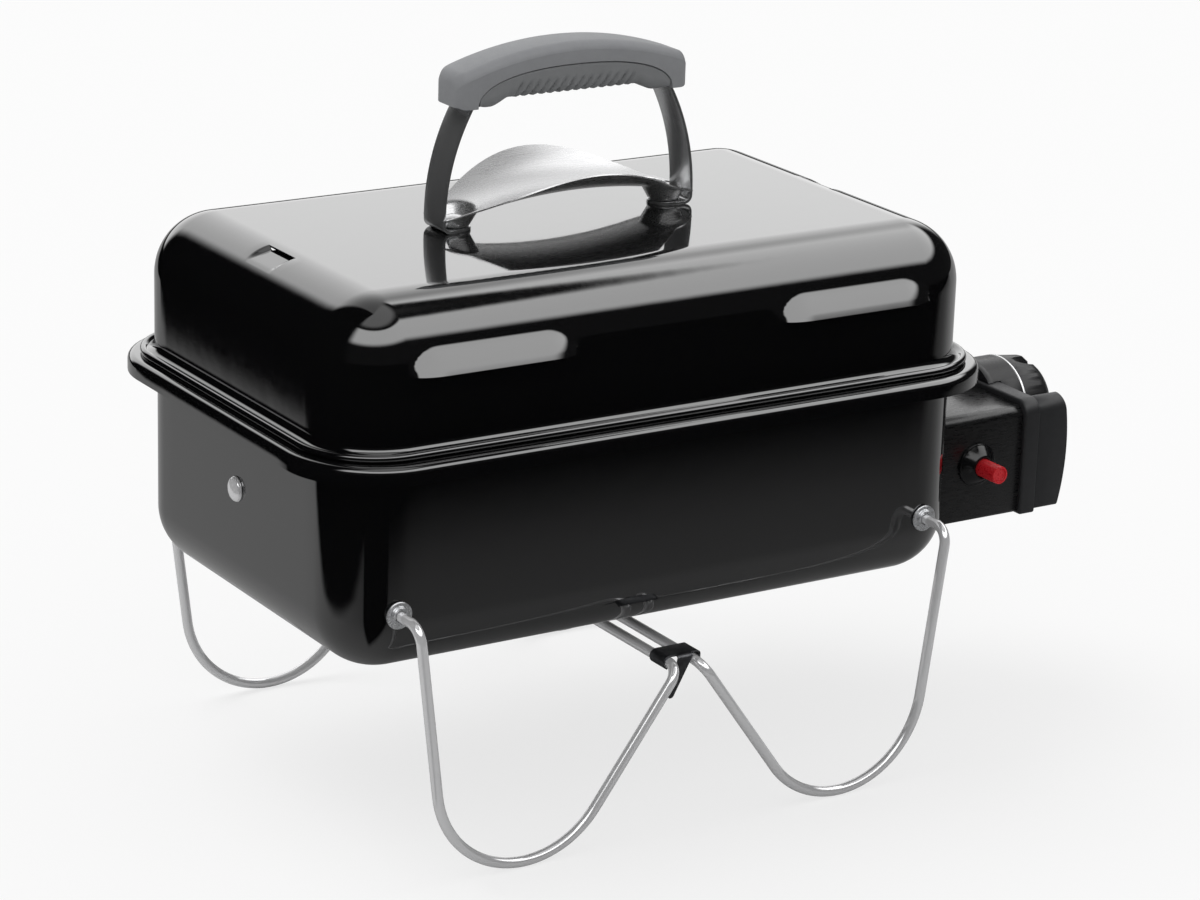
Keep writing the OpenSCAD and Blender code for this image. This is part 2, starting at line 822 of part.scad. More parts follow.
// Half section of the space inside the lid, out to a little way into the sheet.
module core_outline(half) {
    core_r = crown_r - sheet_t / 2;
    for (s = [0, 1]) mirror([s, 0]) union() {
        translate([0, lid_low + 12]) square([half - sheet_t / 2, lid_h - crown_r - 12]);
        translate([0, lid_low + 12]) square([half - crown_r, lid_h - 12 - sheet_t / 2]);
        translate([half - crown_r, lid_top - crown_r]) circle(r = core_r);
    }
}

// Space inside the lid behind the louvres.
module lid_core() {
    along_x(-170.2, 170.2) core_outline(lid_b);
}

module lid() {
    at_table() color("#141416") difference() {
        union() {
            lid_skin();
            difference() {
                louvre_forms(0);
                lid_core();
            }
            for (s = [0, 1]) mirror([s, 0, 0]) catch_tray();
        }
        louvre_forms(hood_t);
        for (s = [0, 1]) mirror([s, 0, 0]) catch_room(0, 0);
        for (s = [-1, 1]) translate([s * handle_x, 0, lid_top - 5]) cylinder(h = 10, r = 3.3);
    }
}

// ---------------------------------------------------------------- handle

foot_z = lid_top + seat_gap;

module strap_outline() {
    turn_r = 5;
    for (s = [0, 1]) mirror([s, 0]) union() {
        translate([handle_x - 11, foot_z]) square([strap_x - turn_r - handle_x + 11, strap_t]);
        translate([strap_x - turn_r, foot_z + turn_r]) ring_sector(turn_r, turn_r - strap_t, -90, 0);
        translate([strap_x - strap_t, foot_z + turn_r]) square([strap_t, 2.4]);
        translate([strap_x - arc_r, foot_z + turn_r + 2.4])
            ring_sector(arc_r, arc_r - strap_t, 0, 30.5);
    }
    translate([0, part_z]) ring_sector(part_r + strap_t, part_r, 53.5, 126.5);
}

module handle_strap() {
    at_table() color("#c4c6c8") difference() {
        upright(strap_w) strap_outline();
        for (s = [-1, 1]) translate([s * handle_x, 0, lid_top - 5]) cylinder(h = 12, r = 3.3);
        for (s = [0, 1]) mirror([s, 0, 0]) foot_trim();
    }
}

// What is trimmed off the corners of a foot, so that its end is round about the screw.
module foot_trim() {
    translate([handle_x, 0, lid_top - 1]) difference() {
        translate([-12, -strap_w / 2 - 1, 0]) cube([13.5, strap_w + 2, 4]);
        translate([0, 0, -1]) cylinder(h = 6, r = 9.8);
    }
}

grip_top_r = 216;

// Side outline of the whole grip: arched top, upright ends.
module grip_outline() {
    intersection() {
        translate([0, lid_top + grip_h - grip_top_r]) circle(r = grip_top_r, $fn = 256);
        translate([-grip_len / 2 - 2, lid_top + 71]) square([grip_len + 4, 40]);
    }
}

module grip_plan(dep, len, r) {
    translate([0, 0, lid_top + 60]) linear_extrude(height = 60) round_plan(len, dep, r);
}

module grip_cap() {
    at_table() color("#6e7072") difference() {
        intersection() {
            upright(grip_w + 4) grip_outline();
            grip_plan(grip_w, grip_len, 11);
        }
        upright(grip_w + 6) translate([0, part_z]) circle(r = part_r, $fn = 160);
        upright(strap_w + 0.4) grip_slot();
    }
}

// Room for the strap inside the grip.
module grip_slot() {
    slot = 0.2;
    translate([0, part_z]) ring_sector(part_r + strap_t + slot, part_r - slot, 50, 130);
    for (s = [0, 1]) mirror([s, 0]) translate([strap_x - arc_r, foot_z + 7.4])
        ring_sector(arc_r + slot, arc_r - strap_t - slot, 25, 34);
}

module grip_insert() {
    ridge_n = 12;
    low_z = lid_top + 73.5;
    at_table() color("#5a5c5e") difference() {
        intersection() {
            upright(grip_w + 2) difference() {
                intersection() {
                    translate([0, part_z]) circle(r = part_r - 0.15, $fn = 160);
                    translate([-64, low_z - 4]) square([128, 40]);
                }
                translate([0, low_z - 150 + 1.2]) circle(r = 150, $fn = 200);
            }
            grip_plan(grip_w - 2, 122, 9);
        }
        for (k = [0:ridge_n - 1])
            translate([-38.5 + k * 7, 0, low_z + 0.4]) rotate([90, 0, 12])
                cylinder(h = grip_w + 10, r = 2.2, center = true, $fn = 24);
        upright(strap_w + 0.4) grip_slot();
    }
}

shield_z = lid_top + 17;
shield_arch = 342;
shield_wing = 58;
shield_t = 0.8;

// Plan of the shield: a lens that narrows to a rounded end over each foot.
module shield_plan() {
    intersection() {
        union() {
            for (s = [-1, 1]) translate([s * (handle_x + 1), 0]) circle(r = 15.5);
            intersection() {
                translate([0, -76]) circle(r = 115, $fn = 160);
                translate([0, 76]) circle(r = 115, $fn = 160);
            }
        }
        square([176, 78], center = true);
    }
}

module heat_shield() {
    cup_z = foot_z + strap_t + seat_gap;
    at_table() color("#c8cacc") difference() {
        union() {
            intersection() {
                translate([0, 0, shield_z - shield_arch]) rotate([90, 0, 0])
                    rotate([0, 0, 70]) rotate_extrude(angle = 40, $fn = 360)
                        translate([shield_arch + shield_wing, 0])
                            ring_sector(shield_wing + shield_t, shield_wing, 130, 230);
                translate([0, 0, lid_top + 1]) linear_extrude(height = 60) shield_plan();
            }
            for (s = [-1, 1]) translate([s * handle_x, 0, cup_z]) cylinder(h = 7, r1 = 9.5, r2 = 12.5);
        }
        for (s = [-1, 1]) translate([s * handle_x, 0, 0]) {
            translate([0, 0, cup_z + 1]) cylinder(h = 20, r1 = 8.9, r2 = 17.5);
            translate([0, 0, cup_z - 2]) cylinder(h = 5, r = 3.3);
        }
        for (s = [0, 1]) mirror([s, 0, 0]) translate([strap_x - 5.2, -strap_w / 2 - 0.4, lid_top])
            cube([20, strap_w + 0.8, 30]);
    }
}

screw_seat = foot_z + strap_t + 2 * seat_gap + 1;

module handle_screws() {
    dome_r = 9;
    head_r = 7.8;
    at_table() color("#d0d2d4") for (s = [-1, 1]) translate([s * handle_x, 0, screw_seat]) union() {
        intersection() {
            translate([0, 0, 5.6 - dome_r]) sphere(r = dome_r);
            cylinder(h = 8, r = head_r);
        }
        translate([0, 0, -16]) cylinder(h = 16.5, r = 3);
    }
}

module handle_nuts() {
    at_table() color("silver") for (s = [-1, 1])
        translate([s * handle_x, 0, lid_top - sheet_t - seat_gap - 5]) difference() {
            cylinder(h = 5, r = 5.8, $fn = 6);
            translate([0, 0, -1]) cylinder(h = 7, r = 3.05);
        }
}

module left_end_bolt() {
    at_table() color("#d0d2d4") translate([-bowl_a, 0, end_bolt_z]) union() {
        intersection() {
            translate([8.5 - 4, 0, 0]) sphere(r = 8.5);
            bar_x(-6, -seat_gap, 7.4);
        }
        bar_x(-1, 14, 3);
    }
}

module left_end_nut() {
    at_table() color("silver") translate([-wall_in_x + 1.5 + 2 * seat_gap, 0, end_bolt_z]) difference() {
        rotate([0, 90, 0]) cylinder(h = 5, r = 5.8, $fn = 6);
        bar_x(-1, 7, 3.05);
    }
}

bowl();
grate_rests();
left_end_bolt();
left_end_nut();
burner_tube();
burner_end_bracket();
heat_deflector();
cooking_grate();
ignition_electrode();
ignition_cable();
control_box();
box_screws();
box_nuts();
box_bezel();
end_cover();
bezel_screws();
regulator_bracket();
regulator_body();
regulator_ring();
gas_pipe();
gas_orifice();
control_knob();
igniter_body();
igniter_collar();
igniter_spring();
igniter_button();
pivot_washers();
left_leg();
left_push_nuts();
right_leg();
right_push_nuts();
leg_clip();
lid();
handle_strap();
grip_cap();
grip_insert();
heat_shield();
handle_screws();
handle_nuts();
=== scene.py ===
"""Looks for a portable tabletop grill: finished meshes, materials, light and camera on the CAD frame."""
import json
import math

import bmesh
import bpy
from mathutils import Matrix, Vector


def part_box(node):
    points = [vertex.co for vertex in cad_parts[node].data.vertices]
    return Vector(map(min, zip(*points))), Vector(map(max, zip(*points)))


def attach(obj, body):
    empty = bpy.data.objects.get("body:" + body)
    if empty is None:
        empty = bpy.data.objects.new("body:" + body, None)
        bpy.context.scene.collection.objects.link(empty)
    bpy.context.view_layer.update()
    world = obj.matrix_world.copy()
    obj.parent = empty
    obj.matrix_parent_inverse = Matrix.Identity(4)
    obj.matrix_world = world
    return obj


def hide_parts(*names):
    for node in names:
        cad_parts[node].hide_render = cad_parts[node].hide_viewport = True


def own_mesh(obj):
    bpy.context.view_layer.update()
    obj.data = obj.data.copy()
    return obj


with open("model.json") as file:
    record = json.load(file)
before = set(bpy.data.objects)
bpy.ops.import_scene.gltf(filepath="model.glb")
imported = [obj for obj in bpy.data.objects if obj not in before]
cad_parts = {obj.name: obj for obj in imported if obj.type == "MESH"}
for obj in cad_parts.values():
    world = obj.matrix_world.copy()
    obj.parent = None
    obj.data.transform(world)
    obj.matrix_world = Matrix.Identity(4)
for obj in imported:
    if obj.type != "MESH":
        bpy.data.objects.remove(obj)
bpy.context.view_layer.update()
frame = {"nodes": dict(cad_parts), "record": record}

# ---------------------------------------------------------------- places and sizes, in mm
# Shapes are written in the bowl's own frame: the middle of the bowl, Z = 0 on its underside.

MM = 0.001
bowl_lo, bowl_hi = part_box("bowl")
MID_X = (bowl_lo.x + bowl_hi.x) / 2


def local_box(node):
    """Lowest and highest corner of a CAD node in the bowl's frame, in mm."""
    lo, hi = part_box(node)
    shift = Vector((MID_X, 0, bowl_lo.z))
    return (lo - shift) / MM, (hi - shift) / MM


SHEET = 1.2
CORNER = 37
RIM_OUT = 17
RIM_DROP = 10.5
BOWL_H = local_box("bowl")[1].z
BOWL_A = local_box("bowl")[1].x - RIM_OUT
BOWL_B = local_box("bowl")[1].y - RIM_OUT
BOWL_FLOOR_R = 35
LID_A = BOWL_A + 2
LID_B = BOWL_B - 0.5
LID_LOW = BOWL_H + 0.2
LID_TOP = local_box("handle_strap")[0].z - 0.05
CROWN = 36

WIRE = 3.0
PIVOT = Vector((174, 39))
FOOT = Vector((105.6, -53))
FOOT_R = 56.2
BAR = Vector((7.7, -13.8))
LEG_Y = local_box("right_leg")[1].y - WIRE
STUB_Y = 112
BEND = 10

HANDLE_X = 70
STRAP_X = 83
STRAP_W = 22
STRAP_T = 1.8
STRAP_LOW = LID_TOP + 0.05
ARC_R = 128
ARC_Z = STRAP_LOW + 7.4
PART_R = 107
PART_Z = LID_TOP + 90.5 - PART_R
GRIP_TOP = local_box("grip_cap")[1].z
GRIP_HALF = local_box("grip_cap")[1].x
GRIP_W = local_box("grip_cap")[1].y

BOX_LO, BOX_HI = local_box("control_box")
BUTTON_LO, BUTTON_HI = local_box("igniter_button")
IGNITER_X = (BUTTON_LO.x + BUTTON_HI.x) / 2
IGNITER_Z = (BUTTON_LO.z + BUTTON_HI.z) / 2
REG_Z = 59.2


# ---------------------------------------------------------------- mesh tools

def place(p):
    """A point of the bowl's frame, in mm, as a point of the row frame, in metres."""
    return Vector((MID_X + p[0] * MM, p[1] * MM, bowl_lo.z + p[2] * MM))


def shade(obj, angle=35):
    """Smooth shading that keeps edges sharper than the angle."""
    for polygon in obj.data.polygons:
        polygon.use_smooth = True
    obj.data.set_sharp_from_angle(angle=math.radians(angle))


def new_piece(name, body, slot, points, faces, smooth=35):
    """A mesh piece from points in the bowl's frame, with outward faces, riding on a body."""
    mesh = bpy.data.meshes.new(name)
    mesh.from_pydata([place(p) for p in points], [], faces)
    obj = bpy.data.objects.new(name, mesh)
    bpy.context.scene.collection.objects.link(obj)
    bm = bmesh.new()
    bm.from_mesh(mesh)
    bmesh.ops.remove_doubles(bm, verts=bm.verts, dist=1e-6)
    bmesh.ops.recalc_face_normals(bm, faces=bm.faces)
    bm.to_mesh(mesh)
    bm.free()
    mesh.materials.append(LOOKS[slot])
    shade(obj, smooth)
    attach(obj, body)
    return obj


def bake(obj, smooth=35):
    """Turns an object's modifiers into plain mesh."""
    graph = bpy.context.evaluated_depsgraph_get()
    graph.update()
    mesh = bpy.data.meshes.new_from_object(obj.evaluated_get(graph))
    obj.modifiers.clear()
    obj.data = mesh
    shade(obj, smooth)
    return obj


def round_edges(obj, width, steps=3, angle=35, smooth=35):
    """Rounds every edge sharper than the angle to a radius of width, in mm."""
    bevel = obj.modifiers.new("round", "BEVEL")
    bevel.width = width * MM
    bevel.segments = steps
    bevel.limit_method = "ANGLE"
    bevel.angle_limit = math.radians(angle)
    bevel.use_clamp_overlap = True
    return bake(obj, smooth)


def thicken(obj, thickness, side=-1, smooth=35):
    """Gives a surface the thickness of its sheet, in mm, on its back (-1) or its front (1)."""
    solid = obj.modifiers.new("sheet", "SOLIDIFY")
    solid.thickness = thickness * MM
    solid.offset = side
    solid.use_even_offset = True
    return bake(obj, smooth)


def cut_box(obj, centre, size, smooth=35):
    """Cuts a box-shaped notch out of a piece."""
    bm = bmesh.new()
    bmesh.ops.create_cube(bm, size=MM)
    bmesh.ops.scale(bm, vec=Vector(size), verts=bm.verts)
    bmesh.ops.translate(bm, vec=place(centre), verts=bm.verts)
    mesh = bpy.data.meshes.new("notch")
    bm.to_mesh(mesh)
    bm.free()
    notch = bpy.data.objects.new("notch", mesh)
    bpy.context.scene.collection.objects.link(notch)
    cut = obj.modifiers.new("notch", "BOOLEAN")
    cut.operation = "DIFFERENCE"
    cut.solver = "EXACT"
    cut.object = notch
    bake(obj, smooth)
    bpy.data.objects.remove(notch)
    bpy.data.meshes.remove(mesh)


def grid_faces(rows, cols, closed=False):
    """Quads between a grid of points stored row by row. closed joins the last column to the first."""
    faces = []
    for r in range(rows - 1):
        for c in range(cols if closed else cols - 1):
            d = (c + 1) % cols
            faces.append((r * cols + c, r * cols + d, (r + 1) * cols + d, (r + 1) * cols + c))
    return faces


def arc(cx, cy, r, a0, a1, steps):
    """Points of a flat arc, ends included, with angles in degrees."""
    out = []
    for k in range(steps + 1):
        a = math.radians(a0 + (a1 - a0) * k / steps)
        out.append((cx + r * math.cos(a), cy + r * math.sin(a)))
    return out


def lathe(name, body, slot, centre, axis, profile, steps=64, smooth=35):
    """A turned piece. The profile holds (distance along the axis, radius) pairs."""
    n = Vector(axis).normalized()
    u = n.orthogonal().normalized()
    v = n.cross(u)
    points = []
    for along, radius in profile:
        for k in range(steps):
            a = 2 * math.pi * k / steps
            points.append(Vector(centre) + n * along + (u * math.cos(a) + v * math.sin(a)) * radius)
    return new_piece(name, body, slot, points, grid_faces(len(profile), steps, True), smooth)


def tube(name, body, slot, path, radius, steps):
    """A round wire along a path of points, with flat ends."""
    pts = [Vector(p) for p in path]
    side = (pts[1] - pts[0]).orthogonal().normalized()
    points = []
    for i, p in enumerate(pts):
        ahead = pts[min(i + 1, len(pts) - 1)] - pts[max(i - 1, 0)]
        ahead.normalize()
        side = (side - ahead * side.dot(ahead)).normalized()
        other = ahead.cross(side)
        for k in range(steps):
            a = 2 * math.pi * k / steps
            points.append(p + (side * math.cos(a) + other * math.sin(a)) * radius)
    faces = grid_faces(len(pts), steps, True)
    faces.append(tuple(range(steps)))
    faces.append(tuple(range((len(pts) - 1) * steps, len(pts) * steps)))
    return new_piece(name, body, slot, points, faces)


def strip(name, body, slot, path, half_width, thickness, y, edge):
    """A bent flat strip: a path of (x, z) middle points, carried across along Y. half_width(point) is its
    half width there."""
    pts = [Vector(p) for p in path]
    points = []
    for i, p in enumerate(pts):
        ahead = pts[min(i + 1, len(pts) - 1)] - pts[max(i - 1, 0)]
        ahead.normalize()
        off = Vector((-ahead.y, ahead.x)) * thickness / 2
        for sy, so in ((-1, -1), (1, -1), (1, 1), (-1, 1)):
            points.append((p.x + off.x * so, y + sy * half_width(p), p.y + off.y * so))
    faces = grid_faces(len(pts), 4, True)
    faces.append((0, 1, 2, 3))
    faces.append(tuple(range(4 * len(pts) - 4, 4 * len(pts))))
    obj = new_piece(name, body, slot, points, faces)
    return round_edges(obj, edge, 3, 50)


def case_sweep(name, body, slot, path, section, smooth=35):
    """Carries a closed section of (x, outward) points along a path in the YZ plane."""
    pts = [Vector(p) for p in path]
    points = []
    for i, p in enumerate(pts):
        ahead = pts[min(i + 1, len(pts) - 1)] - pts[max(i - 1, 0)]
        ahead.normalize()
        out = Vector((ahead.y, -ahead.x))
        for x, o in section:
            points.append((x, p.x + out.x * o, p.y + out.y * o))
    n = len(section)
    faces = grid_faces(len(pts), n, True)
    faces.append(tuple(range(n)))
    faces.append(tuple(range(n * (len(pts) - 1), n * len(pts))))
    return new_piece(name, body, slot, points, faces, smooth)


def finished_copy(node, slot, edge):
    """A copy of a CAD node's shape with its edges rounded, standing for that node."""
    source = frame["nodes"][node]
    obj = bpy.data.objects.new(node + "_piece", source.data.copy())
    bpy.context.scene.collection.objects.link(obj)
    bm = bmesh.new()
    bm.from_mesh(obj.data)
    bmesh.ops.remove_doubles(bm, verts=bm.verts, dist=2e-6)
    bmesh.ops.dissolve_limit(bm, angle_limit=math.radians(1), verts=bm.verts, edges=bm.edges)
    bmesh.ops.recalc_face_normals(bm, faces=bm.faces)
    bm.to_mesh(obj.data)
    bm.free()
    obj.data.materials.clear()
    obj.data.materials.append(LOOKS[slot])
    if edge > 0:
        round_edges(obj, edge, 2, 40)
    else:
        shade(obj)
    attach(obj, next(b for b, ns in frame["record"]["behaviour"]["bodies"].items() if node in ns))
    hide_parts(node)
    return obj


def smooth_max(a, b, k):
    """The larger of two values, blended over a difference of k."""
    h = max(k - abs(a - b), 0) / k
    return max(a, b) + h * h * k / 4


def smooth_min(a, b, k):
    return -smooth_max(-a, -b, k)


def ease(lo, hi, x):
    """0 below lo, 1 above hi, smooth between."""
    t = min(max((x - lo) / (hi - lo), 0), 1)
    return t * t * (3 - 2 * t)


# ---------------------------------------------------------------- material tools

class Look:
    """A Principled material with object-space textures; all sizes are in metres."""

    def __init__(self, name, colour, rough, metallic=0.0, **inputs):
        self.mat = bpy.data.materials.new(name)
        self.mat.use_nodes = True
        self.tree = self.mat.node_tree
        self.shader = self.tree.nodes["Principled BSDF"]
        self.shader.inputs["Base Color"].default_value = (*colour, 1)
        self.shader.inputs["Roughness"].default_value = rough
        self.shader.inputs["Metallic"].default_value = metallic
        for key, value in inputs.items():
            self.shader.inputs[key.replace("_", " ").title()].default_value = value
        self.coords = self.tree.nodes.new("ShaderNodeTexCoord").outputs["Object"]
        self.normal = None

    def node(self, kind, **values):
        made = self.tree.nodes.new(kind)
        for key, value in values.items():
            setattr(made, key, value)
        return made

    def link(self, a, b):
        self.tree.links.new(a, b)

    def noise(self, size, stretch=(1, 1, 1), detail=3, roughness=0.5, distortion=0.0):
        """Noise whose lumps are about size metres, longer along an axis with a larger stretch."""
        mapping = self.node("ShaderNodeMapping")
        for i in range(3):
            mapping.inputs["Scale"].default_value[i] = 1 / stretch[i]
        self.link(self.coords, mapping.inputs["Vector"])
        tex = self.node("ShaderNodeTexNoise")
        tex.inputs["Scale"].default_value = 1 / size
        tex.inputs["Detail"].default_value = detail
        tex.inputs["Roughness"].default_value = roughness
        tex.inputs["Distortion"].default_value = distortion
        self.link(mapping.outputs["Vector"], tex.inputs["Vector"])
        return tex.outputs["Fac"]

    def span(self, fac, lo, hi, out_lo, out_hi):
        """Maps a 0..1 value to a new range."""
        ramp = self.node("ShaderNodeMapRange")
        ramp.inputs["From Min"].default_value = lo
        ramp.inputs["From Max"].default_value = hi
        ramp.inputs["To Min"].default_value = out_lo
        ramp.inputs["To Max"].default_value = out_hi
        self.link(fac, ramp.inputs["Value"])
        return ramp.outputs["Result"]

    def tint(self, fac, colour_a, colour_b, lo=0.35, hi=0.65):
        """Base colour that varies between two colours with a texture."""
        mix = self.node("ShaderNodeMix", data_type="RGBA")
        self.link(self.span(fac, lo, hi, 0, 1), mix.inputs["Factor"])
        mix.inputs["A"].default_value = (*colour_a, 1)
        mix.inputs["B"].default_value = (*colour_b, 1)
        self.link(mix.outputs["Result"], self.shader.inputs["Base Color"])
        return self

    def gloss(self, fac, rough_lo, rough_hi, lo=0.35, hi=0.65):
        """Roughness that varies with a texture."""
        self.link(self.span(fac, lo, hi, rough_lo, rough_hi), self.shader.inputs["Roughness"])
        return self

    def bump(self, fac, height, strength=1.0):
        """Relief of about height metres. Calls add up."""
        bump = self.node("ShaderNodeBump")
        bump.inputs["Strength"].default_value = strength
        bump.inputs["Distance"].default_value = height
        self.link(fac, bump.inputs["Height"])
        if self.normal is not None:
            self.link(self.normal, bump.inputs["Normal"])
        self.normal = bump.outputs["Normal"]
        self.link(self.normal, self.shader.inputs["Normal"])
        return self


def enamel():
    """Fired black glass on pressed steel: deep gloss, a faint orange-peel wave, tiny dull specks."""
    look = Look("black_enamel", (0.003, 0.003, 0.0033), 0.05, coat_weight=1.0, coat_roughness=0.02)
    look.shader.inputs["IOR"].default_value = 1.9
    look.bump(look.noise(0.018, detail=1), 0.00008, 0.5)
    look.bump(look.noise(0.0022, detail=2), 0.000006, 0.6)
    look.gloss(look.noise(0.004, detail=4), 0.04, 0.09, 0.3, 0.75)
    return look.mat


def chrome():
    """Bright plated wire with faint drawing lines and smudges."""
    look = Look("chrome_wire", (0.9, 0.9, 0.91), 0.06, 0.5)
    look.gloss(look.noise(0.012, detail=4), 0.04, 0.12)
    look.bump(look.noise(0.0016, detail=2), 0.000006, 0.5)
    return look.mat


def zinc():
    """Zinc-plated steel: slightly milky, with a fine cloudy crystal."""
    look = Look("zinc_plate", (0.62, 0.63, 0.65), 0.26, 0.7)
    fine = look.noise(0.0012, detail=4, roughness=0.7)
    look.tint(fine, (0.52, 0.53, 0.55), (0.74, 0.75, 0.76))
    look.gloss(look.noise(0.003, detail=3), 0.18, 0.36)
    look.bump(fine, 0.00002, 0.5)
    return look.mat


def satin_steel():
    """Satin strip steel, with brushing that runs along the strip."""
    look = Look("satin_steel", (0.6, 0.605, 0.61), 0.24, 0.88)
    lines = look.noise(0.0006, stretch=(60, 1, 60), detail=3, roughness=0.7)
    look.tint(lines, (0.56, 0.565, 0.57), (0.62, 0.625, 0.63))
    look.gloss(lines, 0.2, 0.27)
    look.bump(lines, 0.000003, 0.5)
    return look.mat


def polished_steel():
    """Thin polished stainless sheet with soft rolling lines and a slight ripple from pressing."""
    look = Look("polished_steel", (0.6, 0.6, 0.605), 0.27, 0.85)
    lines = look.noise(0.0008, stretch=(80, 1, 1), detail=2, roughness=0.6)
    look.gloss(lines, 0.25, 0.31)
    look.bump(look.noise(0.05, detail=1), 0.00008, 0.3)
    look.bump(lines, 0.000002, 0.4)
    return look.mat


def spring_steel():
    """Dark blued spring strip."""
    look = Look("spring_steel", (0.13, 0.132, 0.14), 0.45, 1.0)
    look.tint(look.noise(0.004, detail=4), (0.11, 0.112, 0.12), (0.15, 0.152, 0.158))
    look.gloss(look.noise(0.0015, detail=3), 0.4, 0.52)
    look.bump(look.noise(0.0008, detail=3), 0.00001, 0.6)
    return look.mat


def burner_steel():
    """Stainless tube and plate with a faint straw tint from heat."""
    look = Look("burner_steel", (0.5, 0.48, 0.45), 0.34, 1.0)
    look.tint(look.noise(0.05, detail=3), (0.42, 0.4, 0.38), (0.6, 0.53, 0.42))
    look.gloss(look.noise(0.002, stretch=(20, 1, 1), detail=3), 0.26, 0.42)
    look.bump(look.noise(0.001, stretch=(20, 1, 1), detail=2), 0.00001, 0.5)
    return look.mat


def moulded(name, colour, rough, grain, height, lighter=1.25):
    """Moulded plastic with a spark-eroded grain and slight mottling."""
    look = Look(name, colour, rough)
    light = tuple(c * lighter for c in colour)
    look.tint(look.noise(0.006, detail=4, roughness=0.6), colour, light, 0.3, 0.8)
    grain_tex = look.noise(grain, detail=2, roughness=0.6)
    look.gloss(grain_tex, rough - 0.06, rough + 0.08)
    look.bump(grain_tex, height, 0.8)
    return look.mat


def box_paint():
    """Satin black paint over sheet, with a faint combed grain along X."""
    look = Look("black_paint", (0.006, 0.006, 0.0065), 0.3, coat_weight=0.2, coat_roughness=0.12)
    comb = look.noise(0.0011, stretch=(7, 1, 1), detail=4, roughness=0.65, distortion=0.6)
    look.tint(comb, (0.004, 0.004, 0.0045), (0.012, 0.012, 0.0125))
    look.gloss(comb, 0.22, 0.4)
    look.bump(comb, 0.00004, 0.5)
    return look.mat


def grate_enamel():
    """Satin enamel on the cooking wires, slightly uneven where it pooled."""
    look = Look("grate_enamel", (0.012, 0.012, 0.013), 0.32, coat_weight=0.3, coat_roughness=0.2)
    look.tint(look.noise(0.003, detail=4), (0.008, 0.008, 0.009), (0.025, 0.025, 0.026))
    look.bump(look.noise(0.0014, detail=3), 0.00008, 0.6)
    return look.mat


def red_plastic():
    look = Look("red_plastic", (0.52, 0.012, 0.02), 0.3, subsurface_weight=0.15, subsurface_scale=0.002)
    fine = look.noise(0.0012, detail=3)
    look.tint(fine, (0.46, 0.01, 0.016), (0.6, 0.018, 0.026))
    look.gloss(fine, 0.25, 0.38)
    look.bump(fine, 0.00002, 0.5)
    return look.mat


def brass():
    look = Look("brass", (0.72, 0.52, 0.24), 0.28, 1.0)
    look.tint(look.noise(0.006, detail=4), (0.6, 0.42, 0.18), (0.78, 0.58, 0.28))
    look.gloss(look.noise(0.002, detail=3), 0.2, 0.4)
    look.bump(look.noise(0.001, detail=2), 0.00001, 0.5)
    return look.mat


def ceramic():
    look = Look("ceramic", (0.8, 0.77, 0.7), 0.22, coat_weight=0.3)
    look.tint(look.noise(0.004, detail=4), (0.74, 0.71, 0.63), (0.84, 0.81, 0.75))
    look.bump(look.noise(0.0015, detail=2), 0.00002, 0.5)
    return look.mat


def rubber():
    look = Look("cable_rubber", (0.02, 0.02, 0.02), 0.6)
    look.tint(look.noise(0.002, detail=3), (0.014, 0.014, 0.014), (0.03, 0.03, 0.03))
    look.bump(look.noise(0.0006, detail=2), 0.00002, 0.6)
    return look.mat


LOOKS = {
    "black_enamel": enamel(),
    "black_paint": box_paint(),
    "grate_enamel": grate_enamel(),
    "chrome_wire": chrome(),
    "zinc_plate": zinc(),
    "chrome_screws": chrome(),
    "satin_steel": satin_steel(),
    "polished_steel": polished_steel(),
    "burner_steel": burner_steel(),
    "spring_steel": spring_steel(),
    "charcoal_plastic": moulded("charcoal_plastic", (0.018, 0.0185, 0.02), 0.42, 0.0007, 0.00003),
    "black_plastic": moulded("black_plastic", (0.009, 0.009, 0.01), 0.36, 0.0007, 0.000025),
    "gloss_black_plastic": moulded("gloss_black_plastic", (0.005, 0.005, 0.0055), 0.14, 0.003, 0.00001),
    "red_plastic": red_plastic(),
    "grey_plastic": moulded("grey_plastic", (0.245, 0.25, 0.26), 0.5, 0.0006, 0.00004, 1.1),
    "dark_grey_plastic": moulded("dark_grey_plastic", (0.19, 0.195, 0.2), 0.52, 0.0006, 0.00004, 1.1),
    "brass": brass(),
    "ceramic": ceramic(),
    "cable_rubber": rubber(),
}


# ---------------------------------------------------------------- pressed bowl and lid

LOUVRE_X = 117.5
LOUVRE_HALF = 33
LOUVRE_END = 19
LOUVRE_Z = 171.4
LOUVRE_OUT = 8.2
HOOD_R = 50
LIP_TILT = math.radians(28)
CATCH_X = 177.8
CATCH_LEN = 14
CATCH_HALF = 15.5
CATCH_TURN = math.degrees(math.asin((CATCH_X - (LID_A - CROWN)) / CROWN))


def spaced(lo, hi, step):
    """Evenly spaced values from lo to hi, at most step apart."""
    n = max(1, math.ceil((hi - lo) / step))
    return [lo + (hi - lo) * k / n for k in range(n + 1)]


def joined(*runs):
    """Runs of values end to end, without repeating the shared ends."""
    out = list(runs[0])
    for run in runs[1:]:
        out += list(run)[1:]
    return out


